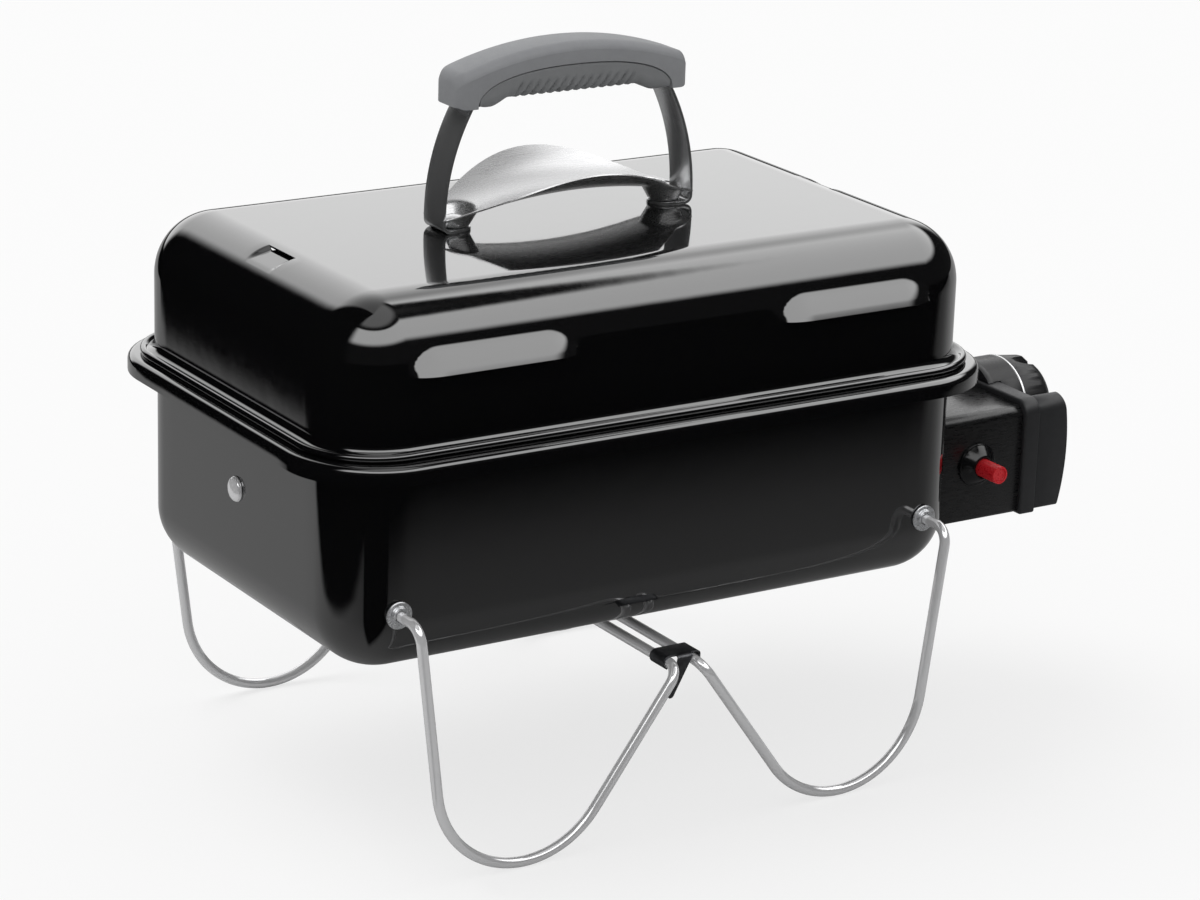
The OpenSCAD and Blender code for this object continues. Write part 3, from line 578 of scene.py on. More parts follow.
def columns(half_x, half_y, xs, ys, turn):
    """Starts and outward directions of wall columns round a rectangle with round corners."""
    out = []
    for x in xs:
        out.append((x, -half_y, 0, -1))
    for a in turn[1:-1]:
        out.append((half_x, -half_y, math.sin(a), -math.cos(a)))
    for y in ys:
        out.append((half_x, y, 1, 0))
    for a in turn[1:-1]:
        out.append((half_x, half_y, math.cos(a), math.sin(a)))
    for x in reversed(xs):
        out.append((x, half_y, 0, 1))
    for a in turn[1:-1]:
        out.append((-half_x, half_y, -math.sin(a), math.cos(a)))
    for y in reversed(ys):
        out.append((-half_x, y, -1, 0))
    for a in turn[1:-1]:
        out.append((-half_x, -half_y, -math.cos(a), -math.sin(a)))
    return out


def pressed(name, body, profile, half_x, half_y, xs, ys, press=None):
    """A pressed tray. The profile holds (outward, z) pairs from its flat middle to its rim. press, if
    given, moves a point for the faces above it and for those below it, which opens a slot."""
    turn = [math.radians(90 * k / 14) for k in range(15)]
    cols = columns(half_x, half_y, xs, ys, turn)
    points, above, below = [], {}, {}

    def position(col, out, z):
        x, y, dx, dy = col
        return (x + dx * out, y + dy * out, z)

    for r, (out, z) in enumerate(profile):
        for c, col in enumerate(cols):
            a = b = (out, z)
            if press:
                a, b = press(col, out, z, r)
            above[r, c] = len(points)
            points.append(position(col, *a))
            below[r, c] = above[r, c]
            if b != a:
                below[r, c] = len(points)
                points.append(position(col, *b))
    faces = []
    n = len(cols)
    for r in range(len(profile) - 1):
        for c in range(n):
            d = (c + 1) % n
            faces.append((below[r, c], below[r, d], above[r + 1, d], above[r + 1, c]))
    first = len(points)
    top = profile[0][1]
    points += [(x, y, top) for y in ys for x in xs]
    faces += [tuple(first + i for i in f) for f in grid_faces(len(ys), len(xs))]
    return new_piece(name, body, "black_enamel", points, faces, 30)


def louvre_reach(x, z):
    """How far out from the corner centres a louvre hood stands, or None beside it."""
    t = max(0, abs(abs(x) - LOUVRE_X) - LOUVRE_HALF) / LOUVRE_END
    if t >= 1 or z < LOUVRE_Z - 1e-6:
        return None
    share = math.sqrt(1 - t * t)
    up = (z - LOUVRE_Z) / share
    if up > 16:
        return None
    hood = CORNER + LOUVRE_OUT - HOOD_R * math.cos(LIP_TILT)
    hood += math.sqrt(HOOD_R ** 2 - (HOOD_R * math.sin(LIP_TILT) + up) ** 2)
    over = max(0, LOUVRE_Z + up - (LID_TOP - CROWN))
    wall = CORNER - CROWN + math.sqrt(CROWN ** 2 - over ** 2)
    here = max(0, z - (LID_TOP - CROWN))
    return CORNER - CROWN + math.sqrt(CROWN ** 2 - here ** 2) + (hood - wall) * share


def catch_floor(out, y):
    """Height of the floor of the pocket outside a catch's slit, or None beside it."""
    along = LID_A - CORNER + out - CATCH_X
    if along < -0.01 or along > CATCH_LEN or abs(y) >= CATCH_HALF:
        return None
    return LID_TOP - 2.7 - 0.257 * along


def lid_press(col, out, z, row):
    """Pushes the louvres out of the lid and the catches into it."""
    x, y, dx, dy = col
    plain = (out, z)
    if dx == 0 and row >= LID_CROWN_MID:
        reach = louvre_reach(x, z)
        if reach is not None and abs(abs(x) - LOUVRE_X) < 52:
            pushed = (smooth_max(out, reach, 1.2), z)
            if pushed[0] - out < 0.02:
                pushed = plain
            if row == LID_LOUVRE_ROW:
                return pushed, plain
            return pushed, pushed
    if dy == 0 and LID_CATCH_ROW <= row < LID_CROWN_MID + 6:
        floor = catch_floor(out, y)
        if floor is not None and floor < z:
            deep = (z - smooth_min(z, floor, 0.6)) * ease(CATCH_HALF, CATCH_HALF - 3.5, abs(y))
            if deep > 0.02:
                pushed = (out, z - deep)
                return (plain if row == LID_CATCH_ROW else pushed), pushed
    return plain, plain


def lid_profile():
    """Outer face of the lid from the flat top, over the crown and the wall, to the rolled lip."""
    turns = [0, 3, 6.5, CATCH_TURN, 12, 14, 16, 18, 20, 22.5, 25, 28, 31.5, 35, 38.5, 42, 45.5, 49]
    turns += list(range(52, 89, 3)) + [90]
    low = CORNER - CROWN
    rows = [(0, LID_TOP)]
    for t in turns:
        a = math.radians(t)
        rows.append((low + CROWN * math.sin(a), LID_TOP - CROWN + CROWN * math.cos(a)))
    catch_row = 1 + turns.index(CATCH_TURN)
    crown_mid = 1 + turns.index(38.5)
    louvre_row = len(rows)
    rows.append((CORNER, LOUVRE_Z))
    wall_low = LID_LOW + 6.8
    rows += [(CORNER, z) for z in (168, 163, 156, 149, 142, 137)]
    rows += [(x, z) for x, z in arc(CORNER + 4.5, wall_low, 4.5, 180, 262, 8)]
    rows += [(x, z) for x, z in arc(CORNER + 6.3, LID_LOW + 2.1, 2.1, 130, -110, 14)]
    return rows, catch_row, crown_mid, louvre_row


LID_ROWS, LID_CATCH_ROW, LID_CROWN_MID, LID_LOUVRE_ROW = lid_profile()


def build_lid():
    half_x = LID_A - CORNER
    half_y = LID_B - CORNER
    inner = LOUVRE_X - 52
    outer = LOUVRE_X + 52
    xs_right = joined(spaced(0, inner, 9), spaced(inner, outer, 2), spaced(outer, half_x, 2))
    xs = [-x for x in reversed(xs_right)] + xs_right[1:]
    ys_half = joined(spaced(0, 16, 1), spaced(16, half_y, 8))
    ys = [-y for y in reversed(ys_half)] + ys_half[1:]
    lid = pressed("lid_shell", "lid", LID_ROWS, half_x, half_y, xs, ys, lid_press)
    thicken(lid, SHEET, -1, 30)
    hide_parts("lid")
    return lid


def build_bowl():
    """The bowl's underside and walls, the ledge that the lid sits on, and the turned-down skirt."""
    low = CORNER - BOWL_FLOOR_R
    rows = [(0, 0)]
    rows += arc(low, BOWL_FLOOR_R, BOWL_FLOOR_R, -90, 0, 22)
    neck = 3
    edge = 4
    ledge = BOWL_H - SHEET
    rows += [(CORNER, z) for z in (48, 62, 78, 94, 108, 117)]
    rows += arc(CORNER + neck, ledge - neck, neck, 180, 90, 6)
    rows += [(CORNER + 8, ledge)]
    rows += arc(CORNER + RIM_OUT - edge, BOWL_H - edge, edge - SHEET, 90, 0, 7)
    rows += [(CORNER + RIM_OUT - SHEET, BOWL_H - RIM_DROP + up) for up in (3, 0.4)]
    half_x = BOWL_A - CORNER
    half_y = BOWL_B - CORNER
    xs = spaced(-half_x, half_x, 12)
    ys = spaced(-half_y, half_y, 12)
    bowl = pressed("bowl_shell", "base", rows, half_x, half_y, xs, ys)
    thicken(bowl, SHEET, 1, 30)
    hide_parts("bowl")
    return bowl


# ---------------------------------------------------------------- legs and clip

def leg_path():
    """Middle line of the right leg, from inside the bowl at the front round to the back."""

    def tangent(point, sign):
        """Direction from a point to where it meets the foot arc, and the length to there."""
        to = FOOT - point
        reach = to.length
        angle = math.atan2(to.y, to.x) + sign * math.asin(FOOT_R / reach)
        return angle, math.sqrt(reach * reach - FOOT_R * FOOT_R)

    def bend(point, angle, forward):
        """Quarter bend from along -Y to the direction angle in the XZ plane."""
        out = []
        for k in range(13):
            a = math.radians(90 * k / 12)
            push = BEND * (1 - math.cos(a))
            out.append((point.x + math.cos(angle) * push, -(LEG_Y - BEND) - BEND * math.sin(a),
                        point.y + math.sin(angle) * push))
        return out if forward else out[::-1]

    leg_angle, _ = tangent(PIVOT, 1)
    bar_angle, _ = tangent(BAR, -1)
    half = [(PIVOT.x, -STUB_Y, PIVOT.y), (PIVOT.x, -STUB_Y - 14, PIVOT.y)]
    half += bend(PIVOT, leg_angle, True)
    start = math.degrees(leg_angle) + 90
    end = math.degrees(bar_angle) - 90
    half += [(x, -LEG_Y, z) for x, z in arc(FOOT.x, FOOT.y, FOOT_R, start, end, 40)]
    half += bend(BAR, bar_angle, False)
    return half + [(BAR.x, 0, BAR.y)] + [(x, -y, z) for x, y, z in reversed(half)]


def build_legs():
    right = leg_path()
    left = [(-x, y, z) for x, y, z in right]
    for side, path in (("right", right), ("left", left)):
        leg = tube(side + "_leg_wire", side + "_leg", "chrome_wire", path, WIRE, 28)
        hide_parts(side + "_leg")


def build_washers():
    """Shouldered washers where the wires enter the bowl."""
    profile = [(0.35, 3.3), (0.35, 7.2), (0.6, 7.7), (1.3, 7.7), (1.6, 7.3), (1.7, 5.6), (2.1, 5.2),
               (3.0, 5.2), (3.4, 4.8), (3.4, 3.6), (3.0, 3.3), (0.35, 3.3)]
    for front, sy in (("front", -1), ("back", 1)):
        for side, sx in (("right", 1), ("left", -1)):
            centre = (sx * PIVOT.x, sy * BOWL_B, PIVOT.y)
            washer = lathe("washer_" + front + "_" + side, "base", "zinc_plate", centre, (0, sy, 0),
                           profile, 48, 25)
            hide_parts("pivot_washers")


def build_clip():
    """Spring clip rolled round the left crossbar, its lip over the right one, and its thumb tongue."""
    hook = WIRE + 0.15 + 0.5
    lip_x = BAR.x + WIRE + 1.8
    top = BAR.y + hook
    path = arc(-BAR.x, BAR.y, hook, 250, 90, 16)
    path += [(0, top), (lip_x - 1.6, top)]
    path += arc(lip_x - 1.6, top - 1.6, 1.6, 80, 0, 5)
    path += [(lip_x, BAR.y - 0.5)]
    front, back = -141, -126.5
    mid_y, half_y = (front + back) / 2, (back - front) / 2
    plate = strip("clip_plate", "leg_clip", "spring_steel", path, lambda p: half_y, 1.0, mid_y, 0.2)
    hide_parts("leg_clip")
    bend_r = 1.7
    run = [(front + 1.5, top), (front, top)]
    run += [(front - 0.5 - bend_r * math.sin(a), top - bend_r * (1 - math.cos(a)))
            for a in [math.radians(18 * k) for k in range(1, 6)]]
    tip = 22.3
    run += [(front - 0.5 - bend_r, top - bend_r - d) for d in (3, 6, 9, 12, 15, 18, 20.5, tip - 0.6, tip)]
    points = []
    for k, (y, z) in enumerate(run):
        drop = min(max((top - z) / (tip + bend_r), 0), 1)
        left = -3.5 - 6 * drop
        right = 6.5 - 13 * drop
        if k == len(run) - 1:
            left, right = left + 0.9, right - 0.9
        points += [(left + (right - left) * s / 4, y, z) for s in range(5)]
    tongue = new_piece("clip_tongue", "leg_clip", "spring_steel", points, grid_faces(len(run), 5))
    thicken(tongue, 1.0, 0)
    round_edges(tongue, 0.2, 2, 50)


# ---------------------------------------------------------------- handle

FOOT_END = 9.8
FOOT_STEPS = [HANDLE_X - FOOT_END * math.cos(math.radians(a)) for a in (8, 14, 21, 29, 38, 48, 59, 72, 90)]
FOOT_STEPS += [HANDLE_X + 1.4, HANDLE_X + 1.6]


def strap_half_width(p):
    """Full width except at the feet, whose ends are round about the screws."""
    far = abs(p.x)
    if p.y > STRAP_LOW + STRAP_T or far > HANDLE_X + 1.5:
        return STRAP_W / 2
    return math.sqrt(max(0.1, FOOT_END ** 2 - (far - HANDLE_X) ** 2))


def strap_path():
    """Middle line of the strap from the left foot, up and through the grip, to the right foot."""
    mid = STRAP_T / 2
    turn = 5 - mid
    side = ARC_R - mid
    half = [(x, STRAP_LOW + mid) for x in FOOT_STEPS]
    half += arc(STRAP_X - 5, STRAP_LOW + 5, turn, -90, 0, 8)
    half += arc(STRAP_X - ARC_R, ARC_Z, side, 0, 29.5, 24)
    top = arc(0, PART_Z, PART_R + mid, 54.5, 90, 20)
    right = half + top
    return right + [(-x, z) for x, z in reversed(right[:-1])]


def build_strap():
    strap = strip("strap_band", "lid", "satin_steel", strap_path(), strap_half_width, STRAP_T, 0, 0.3)
    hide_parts("handle_strap")


def seam_height(x):
    """Height of the line between the two halves of the grip."""
    t = min(abs(x) / 64, 1)
    return 280.2 + 20.2 * (1 - t ** 2.3) ** (1 / 2.3)


def loft(name, body, slot, stations, section, smooth=40):
    """A closed skin over sections at stations along X; section(x) gives its (y, z) points."""
    rings = [section(x) for x in stations]
    n = len(rings[0])
    points = [(x, y, z) for x, ring in zip(stations, rings) for y, z in ring]
    faces = grid_faces(len(stations), n, True)
    faces.append(tuple(range(n)))
    faces.append(tuple(range(n * (len(stations) - 1), n * len(stations))))
    return new_piece(name, body, slot, points, faces, smooth)


def rounded_ring(half_w, low, high, r_top, r_low, crown=0.0, steps=7):
    """Closed section: flat sides, round upper and lower corners, and a slightly crowned top."""
    r_top = min(r_top, half_w * 0.95, (high - low) * 0.6)
    r_low = min(r_low, half_w * 0.6, (high - low) * 0.35)
    ring = []
    ring += arc(half_w - r_top, high - r_top, r_top, 0, 90, steps)
    ring += arc(-half_w + r_top, high - r_top, r_top, 90, 180, steps)
    ring += arc(-half_w + r_low, low + r_low, r_low, 180, 270, 4)
    ring += arc(half_w - r_low, low + r_low, r_low, 270, 360, 4)
    lift = [max(0, 1 - (y / half_w) ** 2) * crown if z > high - r_top * 0.8 else 0 for y, z in ring]
    return [(y, z + k - crown) if k else (y, min(z, high - crown)) for (y, z), k in zip(ring, lift)]


GRIP_END = 8


def cap_section(x):
    far = abs(x)
    half_w = GRIP_W
    if far > GRIP_HALF - GRIP_END:
        half_w -= GRIP_END - math.sqrt(max(0, GRIP_END ** 2 - (far - GRIP_HALF + GRIP_END) ** 2))
    inset = 0
    fillet = 5
    if far > GRIP_HALF - fillet:
        inset = fillet - math.sqrt(max(0, fillet ** 2 - (far - GRIP_HALF + fillet) ** 2))
    high = GRIP_TOP - 216 + math.sqrt(216 ** 2 - x * x) - inset
    low = seam_height(x) + min(inset, 1.5) * 0.6
    return rounded_ring(half_w, low, high, 5.5, 0.5, 1.4)


def insert_low(x):
    """Underside of the grip insert: low at both ends, higher along the fingers."""
    far = abs(x)
    low = 284.6 - 5.0 * ease(40, 54, far) + 1.5 * ease(56, 63, far)
    return low - 1.0 * ease(44, 38, far)


def insert_ring(half_w, low, seam, r_low=6.5):
    """Closed section of the insert, with a neck under the seam that leaves a thin groove."""
    neck = half_w - 2.4
    side = [seam - 0.9 - (seam - 0.9 - low - r_low) * k / 7 for k in range(8)]
    ring = [(half_w, z) for z in reversed(side)]
    ring += [(half_w - 0.3, seam - 0.55), (neck, seam - 0.55), (neck, seam + 0.6)]
    ring += [(-y, z) for y, z in reversed(ring)]
    ring += arc(-half_w + r_low, low + r_low, r_low, 180, 270, 5)[1:]
    return ring + arc(half_w - r_low, low + r_low, r_low, 270, 360, 5)[:-1]


def insert_section(x):
    """The insert, with slanting finger ridges that scallop its lower edge."""
    far = abs(x)
    seam = seam_height(x)
    low = insert_low(x)
    ring = insert_ring(GRIP_W - 0.5, low, seam, min(6.5, (seam - low - 1) * 0.6))
    window = ease(40.5, 36.5, far)
    if window <= 0:
        return ring
    out = []
    for y, z in ring:
        depth = window * ease(294, 290, z)
        wave = abs(math.sin(math.pi * (x - 0.6 * (z - 284) + 40) / 5.7))
        cut = 2.8 * depth * (1 - wave ** 0.8)
        out.append((y * (1 - cut / GRIP_W), z + cut * ease(288, 285, z)))
    return out


def build_grip():
    ends = [GRIP_HALF - GRIP_END * (1 - math.sin(math.radians(90 * k / 12))) for k in range(13)]
    turns = [64 * math.sin(math.radians(90 * k / 30)) for k in range(31)]
    half = turns + [x for x in ends if x > 64.3]
    stations = [-x for x in reversed(half)] + half[1:]
    cap = loft("grip_cap_shell", "lid", "grey_plastic", stations, cap_section)
    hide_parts("grip_cap")
    stations = spaced(-62.6, 62.6, 0.6)
    insert = loft("grip_insert_shell", "lid", "dark_grey_plastic", stations, insert_section, 50)
    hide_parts("grip_insert")


SHIELD_Z = LID_TOP + 17
SHIELD_ARCH = 342
SHIELD_WING = 58
SHIELD_END = 87.5
SHIELD_EAR = 16.5
CUP_FLOOR = LID_TOP + 2.85


def shield_half_width(x):
    """Half width of the shield: a lens whose ends round off over the cups."""
    far = abs(x)
    past = far - (SHIELD_END - SHIELD_EAR)
    if past > 0:
        return max(0.3, math.sqrt(max(0, SHIELD_EAR ** 2 - past ** 2)))
    lens = -76 + math.sqrt(max(0, 115 ** 2 - far * far))
    return smooth_max(lens, SHIELD_EAR - 0.035 * past ** 2, 3)


def shield_height(x, y):
    """Arched along X, dished across, and sunk into a cup round each screw."""
    z = SHIELD_Z - SHIELD_ARCH + math.sqrt(SHIELD_ARCH ** 2 - x * x)
    z += SHIELD_WING - math.sqrt(SHIELD_WING ** 2 - y * y)
    r = math.hypot(abs(x) - HANDLE_X, y)
    cup = CUP_FLOOR + max(0, r - 8.3) * 1.75
    return smooth_max(smooth_min(z, cup, 1.6), CUP_FLOOR, 0.6)


def build_shield():
    tip = SHIELD_END - 3
    near = joined(spaced(0, 50, 3.2), spaced(50, tip, 1.1), spaced(tip, SHIELD_END, 0.4))
    xs = [-x for x in reversed(near)] + near[1:]
    across = 44
    points = []
    for x in xs:
        half = shield_half_width(x)
        for k in range(across + 1):
            y = half * (2 * k / across - 1)
            points.append((x, y, shield_height(x, y)))
    shield = new_piece("shield_sheet", "lid", "polished_steel", points, grid_faces(len(xs), across + 1), 60)
    thicken(shield, 0.8, -1, 60)
    for sx in (-1, 1):
        cut_box(shield, (sx * 87.8, 0, LID_TOP + 10), (20, STRAP_W + 0.8, 30), 60)
    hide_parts("heat_shield")


def dome_profile(seat, r, height, shank_r, shank_len):
    """Domed screw head on a thin flange, with its shank below."""
    flange = seat + 1.1
    out = [(seat - shank_len, 0), (seat - shank_len, shank_r), (seat, shank_r)]
    out += [(seat, r * 0.96), (seat + 0.25, r), (seat + 0.9, r), (flange, r * 0.97)]
    for k in range(1, 11):
        a = math.radians(90 * k / 10)
        out.append((flange + (height - 1.1) * math.sin(a), r * 0.97 * math.cos(a)))
    return out


def build_screws():
    for name, sx in (("left", -1), ("right", 1)):
        screw = lathe("dome_screw_" + name, "lid", "chrome_screws", (sx * HANDLE_X, 0, 0), (0, 0, 1),
                      dome_profile(CUP_FLOOR + 0.05, 7.8, 5.4, 3, 16), 56, 25)
        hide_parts("handle_screws")
    bolt = lathe("end_bolt_dome", "base", "chrome_screws", (-BOWL_A, 0, 76.5), (-1, 0, 0),
                 dome_profile(0.05, 7.2, 3.9, 3, 14), 56, 25)
    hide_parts("left_end_bolt")


# ---------------------------------------------------------------- gas control end

def case_path(front, low, top, back, r, r_low=2):
    """Round the front of a case, from its back edge on top to its back edge below."""
    path = [(back, top), (back - 15, top), (-front + r + 8, top)]
    path += arc(-front + r, top - r, r, 90, 180, 8)
    path += arc(-front + r_low, low + r_low, r_low, 180, 270, 6)
    path += [(-front + r_low + 8, low), (back - 15, low), (back, low)]
    return path


def build_box():
    front, back = -BOX_LO.y, BOX_HI.y
    low, top = BOX_LO.z, BOX_HI.z
    left, right = BOX_LO.x, BOX_HI.x
    path = case_path(front, low, top, back, 6)
    section = [(left, 0), (left, -SHEET), (right, -SHEET), (right, 0)]
    sheet = case_sweep("box_sheet", "base", "black_paint", path, section)
    round_edges(sheet, 0.35, 2, 50)
    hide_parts("control_box")
    build_flange(left, low, top, front, back)


def build_flange(left, low, top, front, back):
    """End flange of the box: a plate with an opening that widens upward round the burner's mouth."""
    n = 96
    mid_y, mid_z = -20, 44
    burner_r = 15
    rise = REG_Z - mid_z

    def reach(angle, half_w, half_h):
        """Distance from the middle of a rectangle to its edge."""
        c, s = abs(math.cos(angle)), abs(math.sin(angle))
        return min(half_w / max(c, 1e-6), half_h / max(s, 1e-6))

    outer, inner = [], []
    for k in range(n):
        a = 2 * math.pi * (k + 0.5) / n
        c, s = math.cos(a), math.sin(a)
        wide = (back - 0.2 - mid_y) if c > 0 else (front - 0.6 + mid_y)
        high = (top - 0.6 - mid_z) if s > 0 else (mid_z - low - 0.6)
        ro = reach(a, wide, high)
        ri = reach(a, 33.5, 15)
        along = -c * mid_y + s * rise
        across = mid_y ** 2 + rise ** 2 - along ** 2
        if across < burner_r ** 2 and along > 0:
            ri = max(ri, along + math.sqrt(burner_r ** 2 - across))
        outer.append((left, mid_y + c * ro, mid_z + s * ro))
        inner.append((left, mid_y + c * ri, mid_z + s * ri))
    flange = new_piece("box_flange", "base", "black_paint", outer + inner, grid_faces(2, n, True))
    # the plate is thickened towards +X
    for vertex in flange.data.vertices:
        vertex.co.x += SHEET / 2 * MM
    thicken(flange, SHEET, 0)


def build_bezel():
    lo, hi = local_box("box_bezel")
    left, right = lo.x, hi.x
    path = case_path(-lo.y, lo.z, hi.z, hi.y, 9)
    deep = -4.1
    section = arc(left + 1.6, -1.6, 1.6, 180, 90, 4) + arc(right - 0.7, -0.7, 0.7, 90, 0, 3)
    section += [(right, deep), (left + 0.3, deep)]
    bezel = case_sweep("bezel_frame", "base", "charcoal_plastic", path, section, 40)
    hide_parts("box_bezel")


def build_igniter():
    """Collar on the front of the box and the push button in it."""
    centre = (IGNITER_X, BOX_LO.y, IGNITER_Z)
    out = (0, -1, 0)
    r = 5.5
    tip = BOX_LO.y - BUTTON_LO.y
    collar = [(-6, r + 0.4), (-6, 7.6), (0.05, 7.6), (0.05, 12.6), (0.4, 13.2), (1.6, 13.2), (2.1, 12.9),
              (2.3, 12.3), (7.6, 7.75), (7.9, 7.3), (8, 6.6), (7.8, r + 0.5), (7.4, r + 0.4), (-6, r + 0.4)]
    piece = lathe("collar_turned", "base", "gloss_black_plastic", centre, out, collar, 64, 28)
    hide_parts("igniter_collar")
    button = [(-14, 0), (-14, r + 0.5), (-11, r + 0.5), (-11, r)]
    lip = ((0.8, 0), (0.2, 0.25), (0, 0.7), (0.1, 1.05), (0.8, 1.25), (1.2, 1.6))
    button += [(tip - back, r - inward) for back, inward in lip] + [(tip - 1.25, 0)]
    press = lathe("button_turned", "igniter_button", "red_plastic", centre, out, button, 48, 40)
    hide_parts("igniter_button")


# ---------------------------------------------------------------- pieces that keep their CAD shape

ROUNDED = {
    "end_cover": ("charcoal_plastic", 1.0),
    "regulator_body": ("black_plastic", 0.6),
    "regulator_ring": ("chrome_screws", 0.2),
    "control_knob": ("black_plastic", 0.7),
    "burner_tube": ("burner_steel", 0),
    "burner_end_bracket": ("burner_steel", 0.2),
    "regulator_bracket": ("burner_steel", 0.2),
    "heat_deflector": ("grate_enamel", 0.3),
    "grate_rests": ("black_paint", 0.3),
    "cooking_grate": ("grate_enamel", 0),
    "gas_pipe": ("brass", 0),
    "gas_orifice": ("brass", 0.2),
    "igniter_body": ("black_plastic", 0.4),
    "ignition_electrode": ("ceramic", 0),
    "ignition_cable": ("cable_rubber", 0),
    "box_screws": ("zinc_plate", 0.3),
    "box_nuts": ("zinc_plate", 0.25),
    "bezel_screws": ("zinc_plate", 0.3),
    "left_end_nut": ("zinc_plate", 0.25),
    "handle_nuts": ("zinc_plate", 0.25),
    "left_push_nuts": ("zinc_plate", 0.2),
    "right_push_nuts": ("zinc_plate", 0.2),
}


def build_spring():
    """Coil behind the igniter button, at its rest length; the real one shortens as the button is pressed.
    """
    lo, hi = local_box("igniter_spring")
    wire = 0.45
    coil_r = 4.4
    turns = 5
    steps = 24
    path = []
    for k in range(turns * steps + 1):
        a = 2 * math.pi * k / steps
        y = lo.y + wire + (hi.y - lo.y - 2 * wire) * k / (turns * steps)
        path.append((IGNITER_X + coil_r * math.cos(a), y, IGNITER_Z + coil_r * math.sin(a)))
    coil = tube("spring_coil", "base", "spring_steel", path, wire, 10)
    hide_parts("igniter_spring")
    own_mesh(coil)


build_lid()
build_bowl()
build_legs()
build_washers()
build_clip()
build_strap()
build_grip()
build_shield()
build_screws()
build_box()
build_bezel()
build_igniter()
build_spring()
for node, (slot, edge) in ROUNDED.items():
    finished_copy(node, slot, edge)


# ---------------------------------------------------------------- stage, light and camera

def math_node(tree, operation, a, b=None):
    """One step of shader maths on sockets or plain numbers."""
    node = tree.nodes.new("ShaderNodeMath")
    node.operation = operation
    for i, value in enumerate((a, b)):
        if value is None:
            continue
        if isinstance(value, (int, float)):
            node.inputs[i].default_value = value
        else:
            tree.links.new(value, node.inputs[i])
    return node.outputs[0]


def product(tree, first, *others):
    for other in others:
        first = math_node(tree, "MULTIPLY", first, other)
    return first


def range_node(tree, value, lo, hi, out_lo, out_hi, smooth=True):
    """A value carried from one range to another, eased at both ends or straight."""
    node = tree.nodes.new("ShaderNodeMapRange")
    node.interpolation_type = "SMOOTHSTEP" if smooth else "LINEAR"
    for key, number in (("From Min", lo), ("From Max", hi), ("To Min", out_lo), ("To Max", out_hi)):
        node.inputs[key].default_value = number
    tree.links.new(value, node.inputs["Value"])
    return node.outputs["Result"]


def build_floor():
    """A pale floor. In reflections it fades to black away from the grill, which keeps the enamel black."""
    half = 12
    corner_x, corner_y = -0.26, -0.13
    washed_out = 0.72
    mesh = bpy.data.meshes.new("floor")
    mesh.from_pydata([(x, y, 0) for x, y in ((-half, -half), (half, -half), (half, half), (-half, half))],
                     [], [(0, 1, 2, 3)])
    floor = bpy.data.objects.new("floor", mesh)
    bpy.context.scene.collection.objects.link(floor)
    mat = bpy.data.materials.new("pale_floor")
    mat.use_nodes = True
    tree = mat.node_tree
    link = tree.links.new
    add = tree.nodes.new
    shader = tree.nodes["Principled BSDF"]
    shader.inputs["Roughness"].default_value = 0.9
    shader.inputs["Specular IOR Level"].default_value = 0.0
    split = add("ShaderNodeSeparateXYZ")
    link(add("ShaderNodeNewGeometry").outputs["Position"], split.inputs[0])
    x, y, _ = split.outputs
    light = add("ShaderNodeLightPath")
    # in reflections: grey beside the grill, darker in front, black farther off and to the left
    near = product(tree, range_node(tree, y, -0.55, 0.1, 0.13, 0.36),
                   range_node(tree, y, -0.72, -0.5, 0.0, 1.0), range_node(tree, x, -0.66, -0.6, 0.0, 1.0))
    # a black wedge in the floor, seen only in reflections, runs from the near corner of the bowl towards
    # the camera: a painted reflection that puts a dark bar on the bowl's near corner
    off_x = math_node(tree, "SUBTRACT", corner_x, x)
    off_y = math_node(tree, "SUBTRACT", corner_y, y)
    edge = math_node(tree, "SUBTRACT", product(tree, off_y, 0.7), product(tree, off_x, 0.65))
    wedge = product(tree, range_node(tree, edge, 0.0, 0.015, 0.0, 1.0),
                    range_node(tree, off_x, 0.0, 0.03, 0.0, 1.0))
    near = product(tree, near, math_node(tree, "SUBTRACT", 1.0, wedge))
    mix = add("ShaderNodeMix")
    link(light.outputs["Is Glossy Ray"], mix.inputs["Factor"])
    mix.inputs["A"].default_value = 0.93
    link(near, mix.inputs["B"])
    link(mix.outputs["Result"], shader.inputs["Base Color"])
    # seen directly, most of the shadow is washed out
    glow = add("ShaderNodeEmission")
    blend = add("ShaderNodeMixShader")
    link(product(tree, light.outputs["Is Camera Ray"], washed_out), blend.inputs[0])
    link(shader.outputs[0], blend.inputs[1])
    link(glow.outputs[0], blend.inputs[2])
    link(blend.outputs[0], tree.nodes["Material Output"].inputs["Surface"])
    mesh.materials.append(mat)


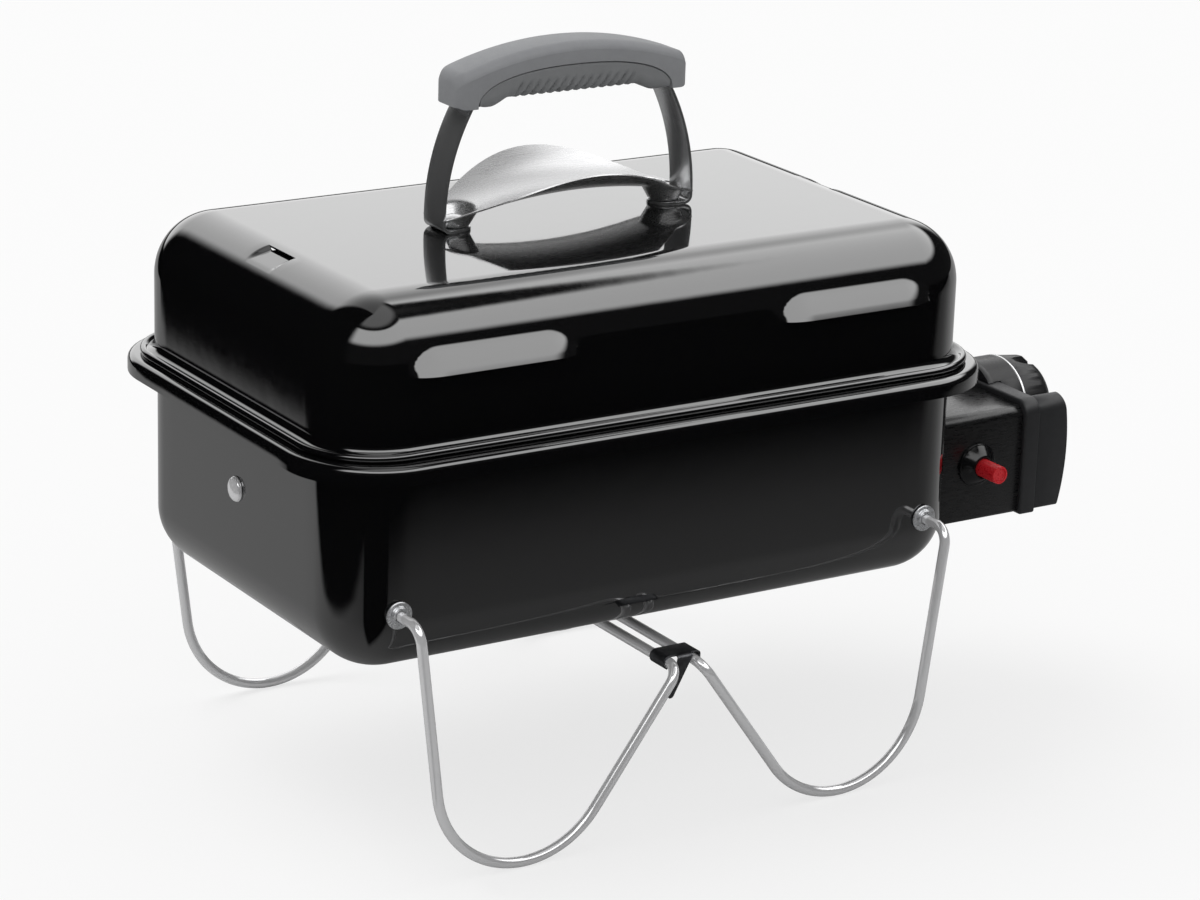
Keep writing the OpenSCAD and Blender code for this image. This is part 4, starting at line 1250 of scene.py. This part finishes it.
def build_world():
    """Soft studio: an even pale dome for the eye and for light, and a panel that only reflections see."""
    world = bpy.data.worlds.new("studio")
    bpy.context.scene.world = world
    world.use_nodes = True
    tree = world.node_tree
    link = tree.links.new
    add = tree.nodes.new
    tree.nodes.clear()
    direction = add("ShaderNodeTexCoord").outputs["Generated"]
    split = add("ShaderNodeSeparateXYZ")
    link(direction, split.inputs[0])
    x, y, z = split.outputs
    flat = math_node(tree, "SQRT", math_node(tree, "ADD", product(tree, x, x), product(tree, y, y)))
    flat = math_node(tree, "MAXIMUM", flat, 0.001)
    # bright wall from a little left of straight behind round to the right, fading towards the zenith
    bright = product(tree, range_node(tree, z, 0.05, 0.1, 0.0, 1.6),
                     range_node(tree, z, 0.5, 1.0, 1.0, 0.3),
                     range_node(tree, math_node(tree, "DIVIDE", x, flat), -0.3, -0.1, 0.0, 1.0))
    # dark side in front and to the right, with one long panel above it
    lead = math_node(tree, "SUBTRACT", product(tree, x, 0.45), product(tree, y, 0.89))
    side = range_node(tree, math_node(tree, "DIVIDE", lead, flat), -0.35, -0.05, 0.0, 1.0)
    panel = product(tree, range_node(tree, z, 0.47, 0.6, 0.0, 2.7),
                    range_node(tree, z, 0.83, 0.86, 1.0, 0.0))
    above = range_node(tree, z, 0.87, 0.93, 0.0, 0.75)
    dark = math_node(tree, "ADD", math_node(tree, "ADD", panel, above), 0.02)
    mix = add("ShaderNodeMix")
    link(side, mix.inputs["Factor"])
    link(bright, mix.inputs["A"])
    link(dark, mix.inputs["B"])
    light = add("ShaderNodeLightPath")
    total = add("ShaderNodeMix")
    link(light.outputs["Is Glossy Ray"], total.inputs["Factor"])
    plain = range_node(tree, light.outputs["Is Camera Ray"], 0, 1, 0.85, 1.0, False)
    link(plain, total.inputs["A"])
    link(mix.outputs["Result"], total.inputs["B"])
    back = add("ShaderNodeBackground")
    link(total.outputs["Result"], back.inputs["Strength"])
    link(back.outputs[0], add("ShaderNodeOutputWorld").inputs["Surface"])


def build_lights():
    """One broad soft lamp from above, unseen in reflections."""
    key = bpy.data.lights.new("key", "SUN")
    key.energy = 1.0
    key.angle = math.radians(40)
    lamp = bpy.data.objects.new("key", key)
    lamp.rotation_euler = (math.radians(-22), math.radians(-18), 0)
    lamp.visible_glossy = False
    bpy.context.scene.collection.objects.link(lamp)


def build_camera():
    """A long lens in front of the left corner, looking down on the lid."""
    place_at = (-1.1923, -1.8271, 0.8841)
    turn = math.radians(-32.65)
    tilt = math.radians(18.07)
    roll = math.radians(1.81)
    back = Vector((math.sin(turn) * math.cos(tilt), -math.cos(turn) * math.cos(tilt), math.sin(tilt)))
    right = Vector((math.cos(turn), math.sin(turn), 0))
    up = back.cross(right)
    right_rolled = right * math.cos(roll) + up * math.sin(roll)
    up_rolled = up * math.cos(roll) - right * math.sin(roll)
    data = bpy.data.cameras.new("camera")
    data.lens = 117.03
    data.sensor_width = 36
    data.clip_end = 50
    camera = bpy.data.objects.new("camera", data)
    columns_3 = Matrix((right_rolled, up_rolled, back)).transposed()
    camera.matrix_world = Matrix.Translation(place_at) @ columns_3.to_4x4()
    bpy.context.scene.collection.objects.link(camera)
    bpy.context.scene.camera = camera


build_floor()
build_world()
build_lights()
build_camera()
bpy.context.scene.view_settings.view_transform = "Standard"
